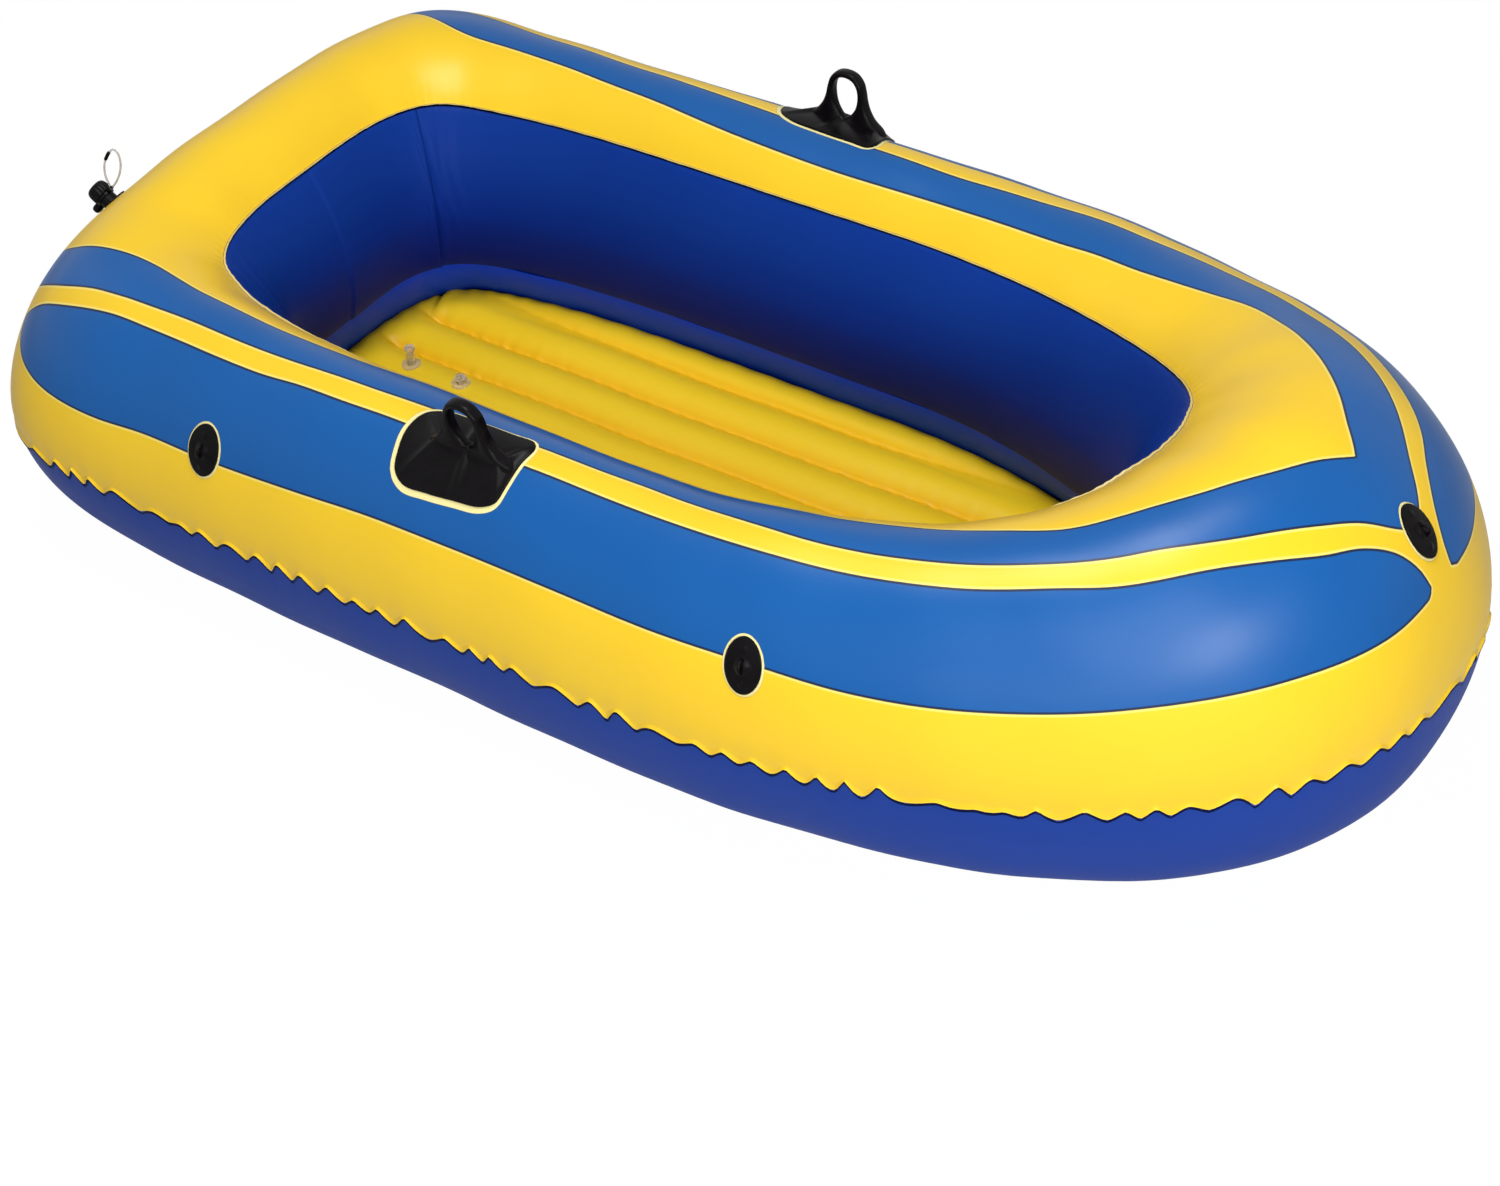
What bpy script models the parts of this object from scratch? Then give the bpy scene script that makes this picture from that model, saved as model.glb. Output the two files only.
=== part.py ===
"""Inflatable pool boat: film panels round one air chamber, a channelled air floor,
moulded oarlocks and rope eyes, and soft valves. Metres, +X to the bow, +Z up."""
import math

import bmesh
import bpy
import numpy as np
from mathutils import Matrix, Vector

# Outer edge of the tube in plan
LENGTH = 1.850
BEAM = 0.974
BOW_START_X = 0.074
STERN_START_X = 0.610
BOW_POWER = 2.178
STERN_POWER = 4.124

# Tube widths, and where the well's straight sides end
SIDE_TUBE_WIDTH = 0.258
BOW_TUBE_WIDTH = 0.435
STERN_TUBE_WIDTH = 0.266
WELL_BOW_START_X = 0.013
WELL_STERN_START_X = 0.135
WELL_BOW_POWER = 2.03
WELL_STERN_POWER = 4.05

# Tube heights and the section's fullness
SIDE_TUBE_HEIGHT = 0.410
BOW_TUBE_HEIGHT = 0.5035
STERN_TUBE_HEIGHT = 0.414
STERN_LIFT = 0.0167
LIFT_POWER = 3.0
CROWN_POWER = 2.0
UPPER_POWER = 1.615
LOWER_POWER = 1.964
KEEL_POWER = 2.0
BOW_KEEL_RISE_POWER = 1.14

# Welded seams, as angles round the section from its outer edge
OUTER_SEAM_ANGLE = -5.5
INNER_SEAM_ANGLE = 130.6
WALL_FOOT_ANGLE = 203.7
KEEL_ANGLE = -90.0
FILM = 0.0005
GAP = 0.0003

# Mesh counts
FINE_STEPS = 800
STERN_STEPS = 13
RUN_STEPS = 7
BOW_STEPS = 16
TOP_ROWS = 12
OUTER_LOWER_ROWS = 4
INNER_LOWER_ROWS = 3
WALL_ROWS = 4
ROUND_SIDES = 24

# Air floor
FLOOR_EQUATOR_Z = 0.038
FLOOR_CROWN_Z = 0.065
FLOOR_EDGE_ROUND = 0.042
FLOOR_FIT = 0.0012
SHOULDER_STEP_SHARES = (0.0, 0.17, 0.45, 1.0)
FLOOR_RIM_GAP = 0.0013
CHANNEL_PITCH = 0.074
CHANNEL_DEPTH = 0.011
CHANNEL_FADE = 0.050
CHANNEL_COUNT = 8
CHANNEL_POWER = 0.85
ROWS_PER_CHANNEL = 4
FLOOR_COLUMNS = 18

# Oarlocks
OARLOCK_SETBACK = 0.8055
OARLOCK_X = OARLOCK_SETBACK - LENGTH / 2
OARLOCK_ANGLE = 73.0
OARLOCK_PAD_LENGTH = 0.166
OARLOCK_PAD_WIDTH = 0.104
OARLOCK_PAD_THICKNESS = 0.003
OARLOCK_PAD_POWER = 3.6
OARLOCK_PAD_WAIST_SHARE = 0.07
OARLOCK_LOOP_HEIGHT = 0.092
OARLOCK_LOOP_WIDTH = 0.070
OARLOCK_FOOT_WIDTH = 0.122
OARLOCK_LOOP_THICKNESS = 0.014
OARLOCK_HOLE_WIDTH = 0.038
OARLOCK_HOLE_HEIGHT = 0.064
OARLOCK_RING_WIDTH = 0.012
OARLOCK_LEAN_ANGLE = 3.0

# Rope eyelets
EYELET_BOW_SETBACK = 0.634
EYELET_STERN_SETBACK = 0.436
EYELET_FORE_X = LENGTH / 2 - EYELET_BOW_SETBACK
EYELET_AFT_X = EYELET_STERN_SETBACK - LENGTH / 2
EYELET_SIDE_ANGLE = 34.0
EYELET_BOW_ANGLE = 45.0
EYELET_STERN_ANGLE = 45.0
EYELET_PAD_WIDTH = 0.050
EYELET_PAD_HEIGHT = 0.066
EYELET_PAD_THICKNESS = 0.0025
EYE_FOOT_RADIUS = 0.0110
EYE_FOOT_THICKNESS = 0.0030
EYE_POST_RADIUS = 0.0085
EYE_HEIGHT = 0.0175
EYE_CHAMFER = 0.0025
EYE_HOLE_RADIUS = 0.0050
EYE_HOLE_ROOF = 0.0035

# Stern inflation valve
VALVE_OFFSET = 0.206
VALVE_ANGLE = 50.0
VALVE_FLANGE_RADIUS = 0.022
VALVE_FLANGE_THICKNESS = 0.0022
VALVE_BODY_RADIUS = 0.0115
VALVE_BODY_HEIGHT = 0.020
VALVE_NECK_RADIUS = 0.0085
VALVE_NECK_HEIGHT = 0.006
VALVE_BORE_RADIUS = 0.0045
VALVE_CAP_RADIUS = 0.0150
VALVE_CAP_THICKNESS = 0.0095
VALVE_CAP_WALL = 0.0030
VALVE_CAP_RIBS = 20
VALVE_RIB_DEPTH = 0.0009
COLLAR_RADIUS = 0.0140
COLLAR_THICKNESS = 0.0030
COLLAR_CLEARANCE = 0.0004
COLLAR_HEIGHT = 0.010
LOBE_RADIUS = 0.0080
LOBE_REACH = 0.0200
EAR_RADIUS = 0.0055
EAR_REACH = 0.0158
TETHER_RADIUS = 0.0009
TETHER_WIDTH = 0.021
TETHER_HEIGHT = 0.048
TETHER_FOOT_SPREAD = 0.0050
TETHER_FOOT_SHIFT = 0.0020
TETHER_POINTS = 17
TETHER_BEAD_RADIUS = 0.0040
TETHER_BEAD_LENGTH = 0.0030
TETHER_BEAD_SHARE = 0.62

# Floor valves, one standing and one pushed in
FLOOR_VALVE_SETBACK = 0.317
FLOOR_VALVE_PITCH = 0.086
FLOOR_VALVE_AFT_X = FLOOR_VALVE_SETBACK - LENGTH / 2
FLOOR_VALVE_FORE_X = FLOOR_VALVE_AFT_X + FLOOR_VALVE_PITCH
FLOOR_VALVE_Y = 0.037
FLOOR_FLANGE_RADIUS = 0.0135
FLOOR_FLANGE_THICKNESS = 0.0012
STEM_RADIUS = 0.0060
STEM_BORE_RADIUS = 0.0042
STEM_LENGTH = 0.032
STEM_STAND = 0.025
STEM_STROKE = 0.0175
STEM_CLEARANCE = 0.0008
PLUG_HEAD_RADIUS = 0.0075
PLUG_HEAD_THICKNESS = 0.0035
PLUG_SHAFT_CLEARANCE = 0.0005
PLUG_SHAFT_LENGTH = 0.0050
VALVE_SIDES = 20

# Cutters
OVERRUN = 0.010
CUTTER_DEPTH = 0.045
CUTTER_MARGIN = 0.020
WELD_DISTANCE = 0.00001

YELLOW = (0.90, 0.62, 0.05)
LOWER_BLUE = (0.05, 0.11, 0.36)
WALL_BLUE = (0.02, 0.06, 0.32)
SHEET_BLUE = (0.03, 0.09, 0.35)
BLACK = (0.012, 0.011, 0.013)
CLEAR = (0.75, 0.74, 0.70)

for old in list(bpy.data.objects):
    bpy.data.objects.remove(old, do_unlink=True)

PARTS = bpy.data.collections.new("inflatable_boat")
CUTTERS = bpy.data.collections.new("cutters")
bpy.context.scene.collection.children.link(PARTS)
bpy.context.scene.collection.children.link(CUTTERS)


def material(name, colour, roughness, alpha):
    made = bpy.data.materials.new(name)
    made.use_nodes = True
    shader = made.node_tree.nodes["Principled BSDF"]
    shader.inputs["Base Color"].default_value = (*colour, 1.0)
    shader.inputs["Roughness"].default_value = roughness
    shader.inputs["Metallic"].default_value = 0.0
    shader.inputs["Alpha"].default_value = alpha
    return made


def new_object(name, mesh, colour, roughness=0.3, alpha=1.0):
    made = bpy.data.objects.new(name, mesh)
    mesh.materials.clear()
    mesh.materials.append(material(name, colour, roughness, alpha))
    PARTS.objects.link(made)
    return made


# Plan outlines, as the half at +Y from the stern's middle to the bow's

def quarter_outline(reach, half_width, power):
    turn = np.linspace(math.pi / 2, 0.0, FINE_STEPS)
    along = reach * np.abs(np.cos(turn)) ** (2 / power)
    across = half_width * np.abs(np.sin(turn)) ** (2 / power)
    return along, across


def half_outline(bow_start, bow_tip, stern_start, stern_tip, bow_power, stern_power, half_width):
    back_x, back_y = quarter_outline(stern_tip - stern_start, half_width, stern_power)
    front_x, front_y = quarter_outline(bow_tip - bow_start, half_width, bow_power)
    along = np.concatenate([-stern_start - back_x[::-1], bow_start + front_x])
    across = np.concatenate([back_y[::-1], front_y])
    steps = np.hypot(np.diff(along), np.diff(across))
    return np.stack([along, across], 1), np.concatenate([[0.0], np.cumsum(steps)])


def even_points(points, travel, marks):
    return np.stack([np.interp(marks, travel, points[:, k]) for k in (0, 1)], 1)


OUTER_RAW, OUTER_TRAVEL = half_outline(
    BOW_START_X, LENGTH / 2, STERN_START_X, LENGTH / 2, BOW_POWER, STERN_POWER, BEAM / 2
)
WELL_RAW, WELL_TRAVEL = half_outline(
    WELL_BOW_START_X,
    LENGTH / 2 - BOW_TUBE_WIDTH,
    WELL_STERN_START_X,
    LENGTH / 2 - STERN_TUBE_WIDTH,
    WELL_BOW_POWER,
    WELL_STERN_POWER,
    BEAM / 2 - SIDE_TUBE_WIDTH,
)
HALF_TRAVEL = OUTER_TRAVEL[-1]
SHARES = np.linspace(0.0, 1.0, FINE_STEPS)
OUTER = even_points(OUTER_RAW, OUTER_TRAVEL, SHARES * OUTER_TRAVEL[-1])
WELL_FINE = even_points(WELL_RAW, WELL_TRAVEL, SHARES * WELL_TRAVEL[-1])


def nearest_on(path, points):
    start, leg = path[:-1], np.diff(path, axis=0)
    size = (leg**2).sum(1)
    away = points[:, None, :] - start[None]
    along = np.clip((away * leg[None]).sum(2) / size[None], 0.0, 1.0)
    spots = start[None] + leg[None] * along[:, :, None]
    best = np.argmin(((points[:, None, :] - spots) ** 2).sum(2), 1)
    return spots[np.arange(len(points)), best]


WELL = nearest_on(WELL_FINE, OUTER)


def signed_power(value, power):
    return np.sign(value) * np.abs(value) ** power


def hull_point(share, side, angle):
    """Points on the tube: share runs stern to bow along one side, angle is in degrees."""
    share = np.asarray(share, float)
    over = (share < 0.0) | (share > 1.0)
    side = np.where(over, -1.0, 1.0) * side
    share = np.where(share < 0.0, -share, np.where(share > 1.0, 2.0 - share, share))
    outer = np.stack([np.interp(share, SHARES, OUTER[:, k]) for k in (0, 1)], -1)
    well = np.stack([np.interp(share, SHARES, WELL[:, k]) for k in (0, 1)], -1)
    width = outer - well
    fore = width[..., 0] / np.linalg.norm(width, axis=-1)
    end_height = np.where(fore > 0.0, BOW_TUBE_HEIGHT, STERN_TUBE_HEIGHT)
    half_height = (SIDE_TUBE_HEIGHT + (end_height - SIDE_TUBE_HEIGHT) * fore**2) / 2
    reach = np.clip(-outer[..., 0] / (LENGTH / 2), 0.0, 1.0)
    lift = STERN_LIFT * reach**LIFT_POWER
    turn = np.radians(angle)
    low = np.sin(turn) < 0.0
    keel = KEEL_POWER + BOW_KEEL_RISE_POWER * np.where(fore > 0.0, fore**2, 0.0)
    across = signed_power(np.cos(turn), 2 / np.where(low, keel, CROWN_POWER))
    up = signed_power(np.sin(turn), 2 / np.where(low, LOWER_POWER, UPPER_POWER))
    plan = (outer + well) / 2 + width / 2 * across[..., None]
    height = half_height * (1.0 + up) + lift
    return np.stack([plan[..., 0], plan[..., 1] * side, height], -1)


NUDGE_SHARE = 0.004
NUDGE_ANGLE = 0.6


def hull_frame(share, side, angle):
    """Point, outward normal, and the direction round the section, on the tube."""
    spot = hull_point(share, side, angle)
    along = hull_point(share + NUDGE_SHARE, side, angle) - hull_point(share - NUDGE_SHARE, side, angle)
    round_it = hull_point(share, side, angle + NUDGE_ANGLE) - hull_point(share, side, angle - NUDGE_ANGLE)
    speed = np.linalg.norm(round_it, axis=-1) / (2 * NUDGE_ANGLE)
    normal = np.cross(along, round_it) * -np.asarray(side)
    normal = normal / np.linalg.norm(normal, axis=-1)[..., None]
    return spot, normal, round_it, speed


def share_at_x(x):
    along = OUTER[:, 0]
    return float(np.interp(x, along, SHARES))


def ring_stations():
    """Shares and sides of the stations round the whole boat, closer where the plan curves."""
    stern_end = share_at_x(-STERN_START_X)
    bow_end = share_at_x(BOW_START_X)
    half = np.concatenate([
        np.linspace(0.0, stern_end, STERN_STEPS + 1)[:-1],
        np.linspace(stern_end, bow_end, RUN_STEPS + 1)[:-1],
        np.linspace(bow_end, 1.0, BOW_STEPS + 1),
    ])
    shares = np.concatenate([half, half[::-1][1:-1]])
    sides = np.concatenate([np.ones(len(half)), -np.ones(len(half) - 2)])
    return shares, sides


RING_SHARES, RING_SIDES = ring_stations()


def grid_mesh(name, columns, rows, place, closed):
    """A grid bent to the points in place[column][row], with its ends joined if closed."""
    bm = bmesh.new()
    bmesh.ops.create_grid(bm, x_segments=columns, y_segments=rows, size=1.0)
    for vert in bm.verts:
        i = round((vert.co.x + 1.0) / 2 * columns)
        j = round((vert.co.y + 1.0) / 2 * rows)
        vert.co = place[i % len(place)][j]
    if closed:
        bmesh.ops.remove_doubles(bm, verts=bm.verts, dist=WELD_DISTANCE)
    mesh = bpy.data.meshes.new(name)
    bm.to_mesh(mesh)
    bm.free()
    return mesh


def face_towards(mesh, spot, outward):
    """Turns the mesh's faces over if the one nearest a spot looks against a direction."""
    nearest = min(mesh.polygons, key=lambda face: (face.center - Vector(spot)).length)
    if nearest.normal.dot(Vector(outward)) < 0.0:
        mesh.flip_normals()


def add_film(obj, thickness):
    shell = obj.modifiers.new("film", "SOLIDIFY")
    shell.thickness = thickness
    shell.offset = -1.0
    shell.use_rim = True


def ring_panel(name, angles, colour):
    place = [
        [Vector(hull_point(share, side, angle)) for angle in angles]
        for share, side in zip(RING_SHARES, RING_SIDES)
    ]
    mesh = grid_mesh(name, len(place), len(angles) - 1, place, True)
    middle = (angles[0] + angles[-1]) / 2
    spot, normal, _, _ = hull_frame(np.float64(0.5), 1.0, middle)
    face_towards(mesh, spot, normal)
    mesh.shade_smooth()
    panel = new_object(name, mesh, colour)
    add_film(panel, FILM)
    return panel


SEAM_ANGLE_GAP = math.degrees(GAP / (SIDE_TUBE_WIDTH / 2))
UNDER_ANGLES = np.linspace(KEEL_ANGLE, WALL_FOOT_ANGLE - 360.0, INNER_LOWER_ROWS + 1)
BILGE_ANGLES = np.linspace(KEEL_ANGLE, OUTER_SEAM_ANGLE - SEAM_ANGLE_GAP, OUTER_LOWER_ROWS + 1)
ring_panel(
    "hull_top_panel", np.linspace(OUTER_SEAM_ANGLE, INNER_SEAM_ANGLE, TOP_ROWS + 1), YELLOW
)
ring_panel("hull_lower_panel", np.concatenate([UNDER_ANGLES[:0:-1], BILGE_ANGLES]), LOWER_BLUE)
ring_panel(
    "inner_wall_panel",
    np.linspace(INNER_SEAM_ANGLE + SEAM_ANGLE_GAP, WALL_FOOT_ANGLE - SEAM_ANGLE_GAP, WALL_ROWS + 1),
    WALL_BLUE,
)


# Bottom sheet: flat under the well, its edge tucked in below the tube all round

SHEET_LOOP_SHARES = (1.0, 0.93, 0.84)


def sheet_edge(share, side):
    keel, beside = (Vector(hull_point(share, side, angle)) for angle in UNDER_ANGLES[:2])
    along = (FILM + 2 * GAP) / (beside.z - keel.z)
    spot = keel.lerp(beside, along)
    return Vector((spot.x, spot.y, keel.z))


def bottom_sheet():
    edge = [sheet_edge(share, side) for share, side in zip(RING_SHARES, RING_SIDES)]
    level = FILM
    place = []
    for spot in edge:
        column = []
        for step, loop_share in enumerate(SHEET_LOOP_SHARES):
            flat = Vector((spot.x * loop_share, spot.y * loop_share, 0.0))
            height = level + (spot.z if step == 0 else 0.0)
            column.append(Vector((flat.x, flat.y, height)))
        place.append(column)
    mesh = grid_mesh("bottom_sheet", len(place), len(SHEET_LOOP_SHARES) - 1, place, True)
    bm = bmesh.new()
    bm.from_mesh(mesh)
    bm.edges.ensure_lookup_table()
    reach = max(v.co.x for v in bm.verts)
    rim = [e for e in bm.edges if e.is_boundary and all(
        abs(v.co.x) <= reach * SHEET_LOOP_SHARES[1] for v in e.verts)]
    inner = []
    seed = min(rim, key=lambda e: (e.verts[0].co.xy.length))
    stack = [seed]
    while stack:
        edge_now = stack.pop()
        if edge_now in inner:
            continue
        inner.append(edge_now)
        for vert in edge_now.verts:
            stack.extend(e for e in vert.link_edges if e.is_boundary and e not in inner)
    bmesh.ops.contextual_create(bm, geom=inner)
    bmesh.ops.recalc_face_normals(bm, faces=bm.faces)
    bm.to_mesh(mesh)
    bm.free()
    face_towards(mesh, (0.0, 0.0, 0.0), (0.0, 0.0, 1.0))
    sheet = new_object("bottom_sheet", mesh, SHEET_BLUE)
    add_film(sheet, FILM)


bottom_sheet()


# Air floor: two sheets that meet at the rim, channelled lengthwise on top

def floor_edge_spot(share):
    """Where the floor's edge lies so that its shoulder just clears the tube's facets."""
    facets = hull_point(np.full(len(UNDER_ANGLES), share), 1.0, UNDER_ANGLES)
    wall = np.array([np.interp(FLOOR_EQUATOR_Z, facets[:, 2], facets[:, k]) for k in (0, 1)])
    inward = facets[-1, :2] - facets[0, :2]
    inward = inward / np.linalg.norm(inward)
    reach = (facets[:, :2] - wall) @ inward
    steps = FLOOR_EDGE_ROUND * np.array(SHOULDER_STEP_SHARES)
    rise = np.sqrt(1.0 - (1.0 - steps / FLOOR_EDGE_ROUND) ** 2)
    shoulder = FLOOR_EQUATOR_Z + FLOOR_RIM_GAP / 2 + (FLOOR_CROWN_Z - FLOOR_EQUATOR_Z) * rise
    scan = np.linspace(0.0, FLOOR_EDGE_ROUND, FINE_STEPS)
    profile = np.interp(scan, steps, shoulder)
    for clearance in scan:
        above = np.interp(scan + clearance, reach, facets[:, 2]) - profile
        if above.min() > FLOOR_FIT:
            return wall + inward * clearance
    return wall + inward * FLOOR_EDGE_ROUND


def floor_outline():
    """The floor's edge along the tube's own facets, from the stern's middle to the bow's."""
    return np.array([floor_edge_spot(share) for share in RING_SHARES[RING_SIDES > 0.0]])


FLOOR_EDGE = floor_outline()
FLOOR_HALF_WIDTH = FLOOR_EDGE[:, 1].max()
FULL_RING = np.concatenate([FLOOR_EDGE, FLOOR_EDGE[-2:0:-1] * (1.0, -1.0)])


def floor_ends(y):
    """Stern and bow limits of the floor's outline at one distance off the middle."""
    y = min(abs(y), FLOOR_HALF_WIDTH - WELD_DISTANCE)
    rows = FLOOR_EDGE[:, 1]
    wide = np.nonzero(rows >= y)[0]
    first, last = wide[0], wide[-1]
    stern = np.interp(y, rows[: first + 1], FLOOR_EDGE[: first + 1, 0])
    bow = np.interp(y, rows[last:][::-1], FLOOR_EDGE[last:, 0][::-1])
    return float(stern), float(bow)


def edge_distance(x, y):
    spot = np.array([[x, y]])
    ring = np.concatenate([FULL_RING, FULL_RING[:1]])
    return float(np.linalg.norm(nearest_on(ring, spot) - spot))


def floor_height(x, y, top):
    """Height of the floor's upper or lower face over the plan."""
    near = min(edge_distance(x, y) / FLOOR_EDGE_ROUND, 1.0)
    swell = math.sqrt(max(0.0, 1.0 - (1.0 - near) ** 2))
    if not top:
        lowest = 2 * FILM + GAP
        start = FLOOR_EQUATOR_Z - FLOOR_RIM_GAP / 2
        return start - (start - lowest) * swell
    start = FLOOR_EQUATOR_Z + FLOOR_RIM_GAP / 2
    fade = min(edge_distance(x, y) / CHANNEL_FADE, 1.0)
    crease = 1.0 - abs(math.sin(math.pi * y / CHANNEL_PITCH)) ** CHANNEL_POWER
    return start + (FLOOR_CROWN_Z - start) * swell - CHANNEL_DEPTH * crease * fade**2


def floor_rows(per_channel):
    half = CHANNEL_COUNT // 2
    marks = [k * CHANNEL_PITCH / per_channel for k in range(half * per_channel)]
    shoulder = FLOOR_HALF_WIDTH - FLOOR_EDGE_ROUND * SHOULDER_STEP_SHARES[1]
    marks = [m for m in marks if m < shoulder - CHANNEL_PITCH / per_channel / 2]
    marks += [shoulder, FLOOR_HALF_WIDTH]
    return [-m for m in marks[:0:-1]] + marks


def floor_sheet(name, per_channel, top, colour):
    rows = floor_rows(per_channel)
    place = []
    for i in range(FLOOR_COLUMNS + 1):
        blend = (1.0 - math.cos(math.pi * i / FLOOR_COLUMNS)) / 2
        column = []
        for y in rows:
            stern, bow = floor_ends(y)
            x = stern + (bow - stern) * blend
            column.append(Vector((x, y, floor_height(x, y, top))))
        place.append(column)
    mesh = grid_mesh(name, FLOOR_COLUMNS, len(rows) - 1, place, False)
    face_towards(mesh, (0.0, 0.0, 0.0), (0.0, 0.0, 1.0 if top else -1.0))
    mesh.shade_smooth()
    sheet = new_object(name, mesh, colour)
    add_film(sheet, FILM)
    return sheet


floor_top = floor_sheet("floor_top_sheet", ROWS_PER_CHANNEL, True, YELLOW)
floor_sheet("floor_bottom_sheet", ROWS_PER_CHANNEL // 2, False, YELLOW)


# Pieces that follow the tube's surface

def patch_point(share, side, angle, along, around, height):
    """A point beside a place on the tube: along the boat, round the section, and off it."""
    _, _, _, speed = hull_frame(np.float64(share), side, angle)
    spot, normal, _, _ = hull_frame(
        np.float64(share + along / HALF_TRAVEL), side, angle + around / float(speed)
    )
    return Vector(spot + normal * height)


def pad_outline(half_length, half_width, power, waist):
    """Distance to the pad's edge in each direction: a rounded oblong, drawn in at its long sides."""
    def reach(turn):
        c, s = abs(math.cos(turn)), abs(math.sin(turn))
        size = ((c / half_length) ** power + (s / half_width) ** power) ** (-1 / power)
        return size * (1.0 - waist * s**4)
    return reach


def pad_mesh(name, share, side, angle, reach, height, steps):
    place = []
    for i in range(steps + 1):
        column = []
        for j in range(steps + 1):
            u, v = 2 * i / steps - 1.0, 2 * j / steps - 1.0
            ring = max(abs(u), abs(v))
            turn = math.atan2(v, u)
            size = reach(turn) * ring
            column.append(patch_point(
                share, side, angle, math.cos(turn) * size, math.sin(turn) * size, height))
        place.append(column)
    mesh = grid_mesh(name, steps, steps, place, False)
    spot, normal, _, _ = hull_frame(np.float64(share), side, angle)
    face_towards(mesh, spot, normal)
    mesh.shade_smooth()
    return mesh


def pad(name, share, side, angle, reach, thickness, steps):
    mesh = pad_mesh(name, share, side, angle, reach, GAP + thickness, steps)
    made = new_object(name, mesh, BLACK)
    add_film(made, thickness)
    return made


def placed(obj, share, side, angle, height):
    """Stands an object on the tube: local Z off the surface, local Y round the section."""
    spot, normal, round_it, _ = hull_frame(np.float64(share), side, angle)
    z = Vector(normal)
    y = (Vector(round_it) - z * z.dot(Vector(round_it))).normalized()
    x = y.cross(z)
    frame = Matrix((x, y, z)).transposed().to_4x4()
    frame.translation = Vector(spot) + z * height
    obj.matrix_world = frame
    return obj


def turned(name, profile, sides, colour, roughness=0.35, alpha=1.0):
    """A solid turned about local Z; the (radius, height) profile runs down its outer side."""
    mesh = bpy.data.meshes.new(name)
    bm = bmesh.new()
    verts = [bm.verts.new((r, 0.0, h)) for r, h in profile]
    for a, b in zip(verts, verts[1:]):
        bm.edges.new((a, b))
    if profile[0][0] > 0.0:
        bm.edges.new((verts[-1], verts[0]))
    bm.to_mesh(mesh)
    bm.free()
    made = new_object(name, mesh, colour, roughness, alpha)
    screw = made.modifiers.new("turn", "SCREW")
    screw.axis = "Z"
    screw.angle = math.tau
    screw.steps = sides
    screw.render_steps = sides
    screw.use_merge_vertices = True
    screw.merge_threshold = WELD_DISTANCE
    screw.use_smooth_shade = True
    return made


def applied(obj):
    """Makes an object's modifiers part of its mesh."""
    bpy.context.view_layer.update()
    ready = obj.evaluated_get(bpy.context.evaluated_depsgraph_get())
    mesh = bpy.data.meshes.new_from_object(ready)
    obj.modifiers.clear()
    obj.data = mesh
    return obj


def cutter_object(name, mesh):
    made = bpy.data.objects.new(name, mesh)
    CUTTERS.objects.link(made)
    made.hide_render = True
    made.display_type = "WIRE"
    return made


def cut(obj, cutter):
    made = obj.modifiers.new("cut", "BOOLEAN")
    made.operation = "DIFFERENCE"
    made.solver = "EXACT"
    made.object = cutter


def round_cutter(name, radius, length, sides):
    mesh = bpy.data.meshes.new(name)
    bm = bmesh.new()
    bmesh.ops.create_cone(
        bm, cap_ends=True, segments=sides, radius1=radius, radius2=radius, depth=length
    )
    bm.to_mesh(mesh)
    bm.free()
    return cutter_object(name, mesh)


# Oarlocks

def loop_outline():
    """Outer edge and hole of the oarlock loop, as (along, up) points."""
    half = OARLOCK_LOOP_WIDTH / 2
    foot = OARLOCK_FOOT_WIDTH / 2
    centre = OARLOCK_LOOP_HEIGHT - half
    side = []
    for k in range(9):
        rise = k / 8
        side.append((half + (foot - half) * (1.0 - rise) ** 2.4, centre * rise))
    arch = [
        (half * math.cos(t), centre + half * math.sin(t))
        for t in np.linspace(0.0, math.pi, 15)[1:-1]
    ]
    root = -CUTTER_DEPTH / 2
    outer = [(foot, root)] + side + arch + [(-x, z) for x, z in side[::-1]] + [(-foot, root)]
    eye = OARLOCK_HOLE_WIDTH / 2
    eye_z = OARLOCK_LOOP_HEIGHT - OARLOCK_RING_WIDTH - eye
    low = OARLOCK_LOOP_HEIGHT - OARLOCK_RING_WIDTH - OARLOCK_HOLE_HEIGHT
    hole = [
        (eye * math.cos(t), eye_z + eye * math.sin(t)) for t in np.linspace(0.0, math.pi, 13)
    ]
    drop = [
        (-eye * (1.0 - d**2), eye_z + (low - eye_z) * d) for d in (0.25, 0.5, 0.75, 0.92)
    ]
    hole += drop + [(0.0, low)] + [(-x, z) for x, z in drop[::-1]]
    return outer, hole


def flat_solid(name, outlines, thickness):
    """A plate standing on its local X and Z, cut from a filled flat curve."""
    curve = bpy.data.curves.new(name, "CURVE")
    curve.dimensions = "2D"
    curve.fill_mode = "BOTH"
    curve.extrude = thickness / 2
    for points in outlines:
        spline = curve.splines.new("POLY")
        spline.points.add(len(points) - 1)
        for point, (x, y) in zip(spline.points, points):
            point.co = (x, y, 0.0, 1.0)
        spline.use_cyclic_u = True
    source = bpy.data.objects.new(name + "_curve", curve)
    PARTS.objects.link(source)
    bpy.context.view_layer.update()
    ready = source.evaluated_get(bpy.context.evaluated_depsgraph_get())
    mesh = bpy.data.meshes.new_from_object(ready)
    bm = bmesh.new()
    bm.from_mesh(mesh)
    bmesh.ops.remove_doubles(bm, verts=bm.verts, dist=WELD_DISTANCE)
    bmesh.ops.recalc_face_normals(bm, faces=bm.faces)
    bm.to_mesh(mesh)
    bm.free()
    bpy.data.objects.remove(source, do_unlink=True)
    return mesh


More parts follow.
